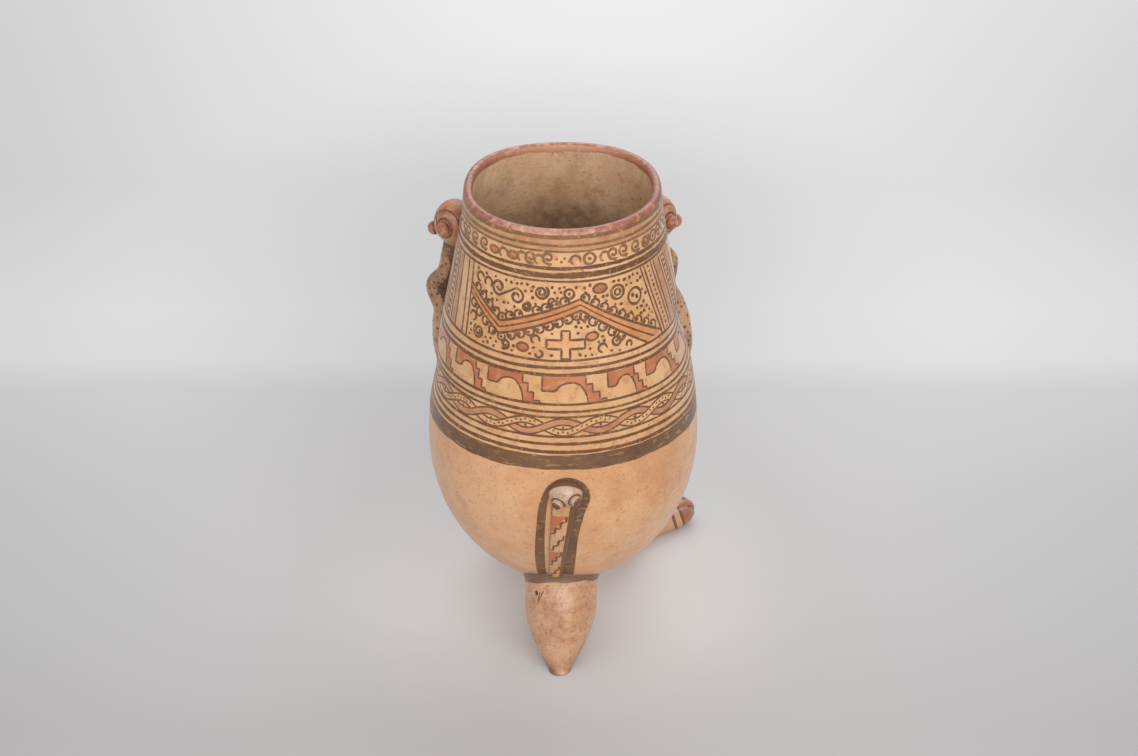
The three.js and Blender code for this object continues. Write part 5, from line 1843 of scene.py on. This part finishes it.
@dataclass
class Studio:
    """Pale floor, soft lamps and a camera that looks down on the jar's back."""

    camera_place: Triple = (-4.16, 1779.3, 1211.1)
    camera_pitch: float = 30.0
    lens: float = 98.07
    room: str = "E4E4E6"
    room_strength: float = 0.78
    aim_height: float = 150.0
    # Lamps: name, place, diameter in metres and power in watts.
    lamps: tuple[tuple[str, Triple, float, float], ...] = (
        ("key_lamp", (-700, 1800, 1200), 2.2, 25.0), ("fill_lamp", (1000, 1700, 1100), 2.2, 10.0),
        ("back_lamp", (-300, -1500, 1500), 2.0, 13.0))
    floor_half: float = 6.0
    floor_level: float = -0.0004
    floor_rough: float = 0.85
    # Painted shade on the paper, greying towards the near side: tones along Y in metres, from the far
    # side to the near side.
    painted_floor_shading: tuple[tuple[float, str], ...] = (
        (-1.07, "F0EFEE"), (-0.85, "EAE9E9"), (-0.63, "E5E4E4"), (-0.40, "EDECEC"), (-0.32, "EBEAEA"),
        (-0.27, "DBDADA"), (-0.12, "D0CFCF"), (0.04, "C8C7C7"), (0.17, "BFBDBD"))
    floor_base: float = 0.75
    # Painted light and shadow on the paper, lighter and darker: X and Y of the middle, both half sizes in
    # metres and the change.
    painted_light_and_shadow_pools: Rows = ((0.0, -0.30, 0.75, 2.5, 0.25), (0.0, 0.0, 0.19, 0.25, 0.33),
                   (0.015, -0.46, 0.38, 0.50, -0.28))

    def build(self) -> None:
        """Set the view, the room's light, floor, lamps and camera."""
        scene = bpy.context.scene
        scene.view_settings.view_transform = "Standard"
        world = bpy.data.worlds.new("soft_room")
        scene.world = world
        world.use_nodes = True
        background = world.node_tree.nodes["Background"]
        background.inputs["Color"].default_value = linear(self.room)
        background.inputs["Strength"].default_value = self.room_strength
        self.build_floor()
        for name, place, size, power in self.lamps:
            lamp = bpy.data.lights.new(name, "AREA")
            lamp.shape, lamp.size, lamp.energy = "DISK", size, power
            x, y, z = array([0.0, 0.0, self.aim_height]) - place
            holder = bpy.data.objects.new(name, lamp)
            holder.location = (array(place) + AXIS) * MM
            holder.rotation_euler = (arctan2(hypot(x, y), -z), 0, arctan2(-x, y))
            scene.collection.objects.link(holder)
        camera = bpy.data.cameras.new("camera")
        camera.lens, camera.sensor_width, camera.sensor_fit = self.lens, 36.0, "HORIZONTAL"
        camera.clip_start, camera.clip_end = 0.05, 50.0
        scene.camera = bpy.data.objects.new("camera", camera)
        scene.camera.location = (array(self.camera_place) + AXIS) * MM
        scene.camera.rotation_euler = (radians(90 - self.camera_pitch), 0, pi)
        scene.collection.objects.link(scene.camera)

    def build_floor(self) -> None:
        """Make a wide level floor of matt paper: painted shade greys it towards the near side, times
        painted light and shadow.
        """
        mesh = bpy.data.meshes.new("floor")
        corners = [(x * self.floor_half, y * self.floor_half, self.floor_level)
                   for x, y in ((-1, -1), (1, -1), (1, 1), (-1, 1))]
        mesh.from_pydata(corners, [], [(0, 1, 2, 3)])
        board = bpy.data.objects.new("floor", mesh)
        bpy.context.scene.collection.objects.link(board)
        # Matt paper gives the eye an even ground without sheen, on which soft shadows lie.
        paper = bpy.data.materials.new("matt_grey_paper")
        paper.use_nodes = True
        tree = paper.node_tree
        place = add_node(tree, "TexCoord").outputs["Object"]
        along = add_node(tree, "SeparateXYZ", {0: place}).outputs["Y"]
        # Painted shade: the paper greys towards the near side.
        far, near = self.painted_floor_shading[0][0], self.painted_floor_shading[-1][0]
        share = add_node(tree, "MapRange", {"Value": along, "From Min": far, "From Max": near})
        tones = add_node(tree, "ValToRGB", {0: share})
        stops = tones.color_ramp.elements
        while len(stops) < len(self.painted_floor_shading):
            stops.new(0.5)
        for stop, (y, tone) in zip(stops, self.painted_floor_shading):
            stop.position, stop.color = (y - far) / (near - far), linear(tone)
        gain: Any = self.floor_base
        # Painted light and shadow: each term lightens or darkens the paper round a middle.
        for x, y, width, depth, amount in self.painted_light_and_shadow_pools:
            off = add_node(tree, "VectorMath", {0: place, 1: (x, y, 0.0)}, operation="SUBTRACT")
            off = add_node(tree, "VectorMath", {0: off, 1: (1 / width, 1 / depth, 0.0)},
                           operation="MULTIPLY")
            apart = add_node(tree, "VectorMath", {0: off}, operation="LENGTH").outputs["Value"]
            painted_pool = add_node(tree, "MapRange", {"Value": apart, "To Min": amount, "To Max": 0.0},
                            interpolation_type="SMOOTHSTEP")
            gain = add_node(tree, "Math", {0: gain, 1: painted_pool}, operation="ADD")
        tint = add_node(tree, "VectorMath", {0: tones, "Scale": gain}, operation="SCALE")
        shader = tree.nodes["Principled BSDF"]
        tree.links.new(tint.outputs[0], shader.inputs["Base Color"])
        shader.inputs["Roughness"].default_value = self.floor_rough
        mesh.materials.append(paper)


def dress_rattles() -> None:
    """Give the loose pellets in the legs their bare clay."""
    for name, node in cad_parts.items():
        if "_rattle_" in name:
            node.data.materials.clear()
            node.data.materials.append(Finish.RATTLE.material())
            log.info("%s: bare clay", name)


def main() -> None:
    """Build the vessel's pieces in order."""
    logging.basicConfig(level=logging.INFO, format="%(message)s")
    Studio().build()
    jar = Jar()
    jar.build()
    WallPainting(jar).build()
    Leg(jar, "rear_leg", azimuth=88.3, reach=72.0, splay=29.0, low=7.6, high=24.2, floor=17.0).build()
    splay, foot_top, foot_floor = 23.0, 19.0, 8.0
    ankle = foot_top / cos(radians(splay)) + foot_floor
    left, right = (Leg(jar, name + "_hind_leg", azimuth, reach=96.0, splay=splay, low=13.5, high=20.5,
                       floor=ankle, start=6.0, vent_at=71.0, cracks=())
                   for name, azimuth in (("left", -73.0), ("right", -118.0)))
    left.build()
    right.build()
    Foot(left, "left_hind_foot", 16.0).build()
    Foot(right, "right_hind_foot", -24.0).build()
    Arm(jar, "left", 1, ((-26, 155, 0, 4), (-26, 137, 1.5, 8), (-25, 120, 2.5, 9), (-24, 106, 5, 7.4),
                         (-24, 91, 14.2, 6.0), (-24, 79, 9.0, 5.2), (-24, 62, 8.5, 5.0),
                         (-24, 42, 8, 5.5))).build()
    Arm(jar, "right", -1, ((206, 155, 0, 4), (206, 137, 1.5, 8), (208, 121, 2.5, 9.2),
                           (211, 110, 3.2, 9.0), (215, 96, 3.5, 7.4), (218, 82, 13.4, 5.8),
                           (218, 69, 7.6, 5.2), (218, 47, 8, 5.5))).build()
    Tail(jar).build()
    Head(jar).build()
    dress_rattles()


if __name__ == "__main__":
    main()
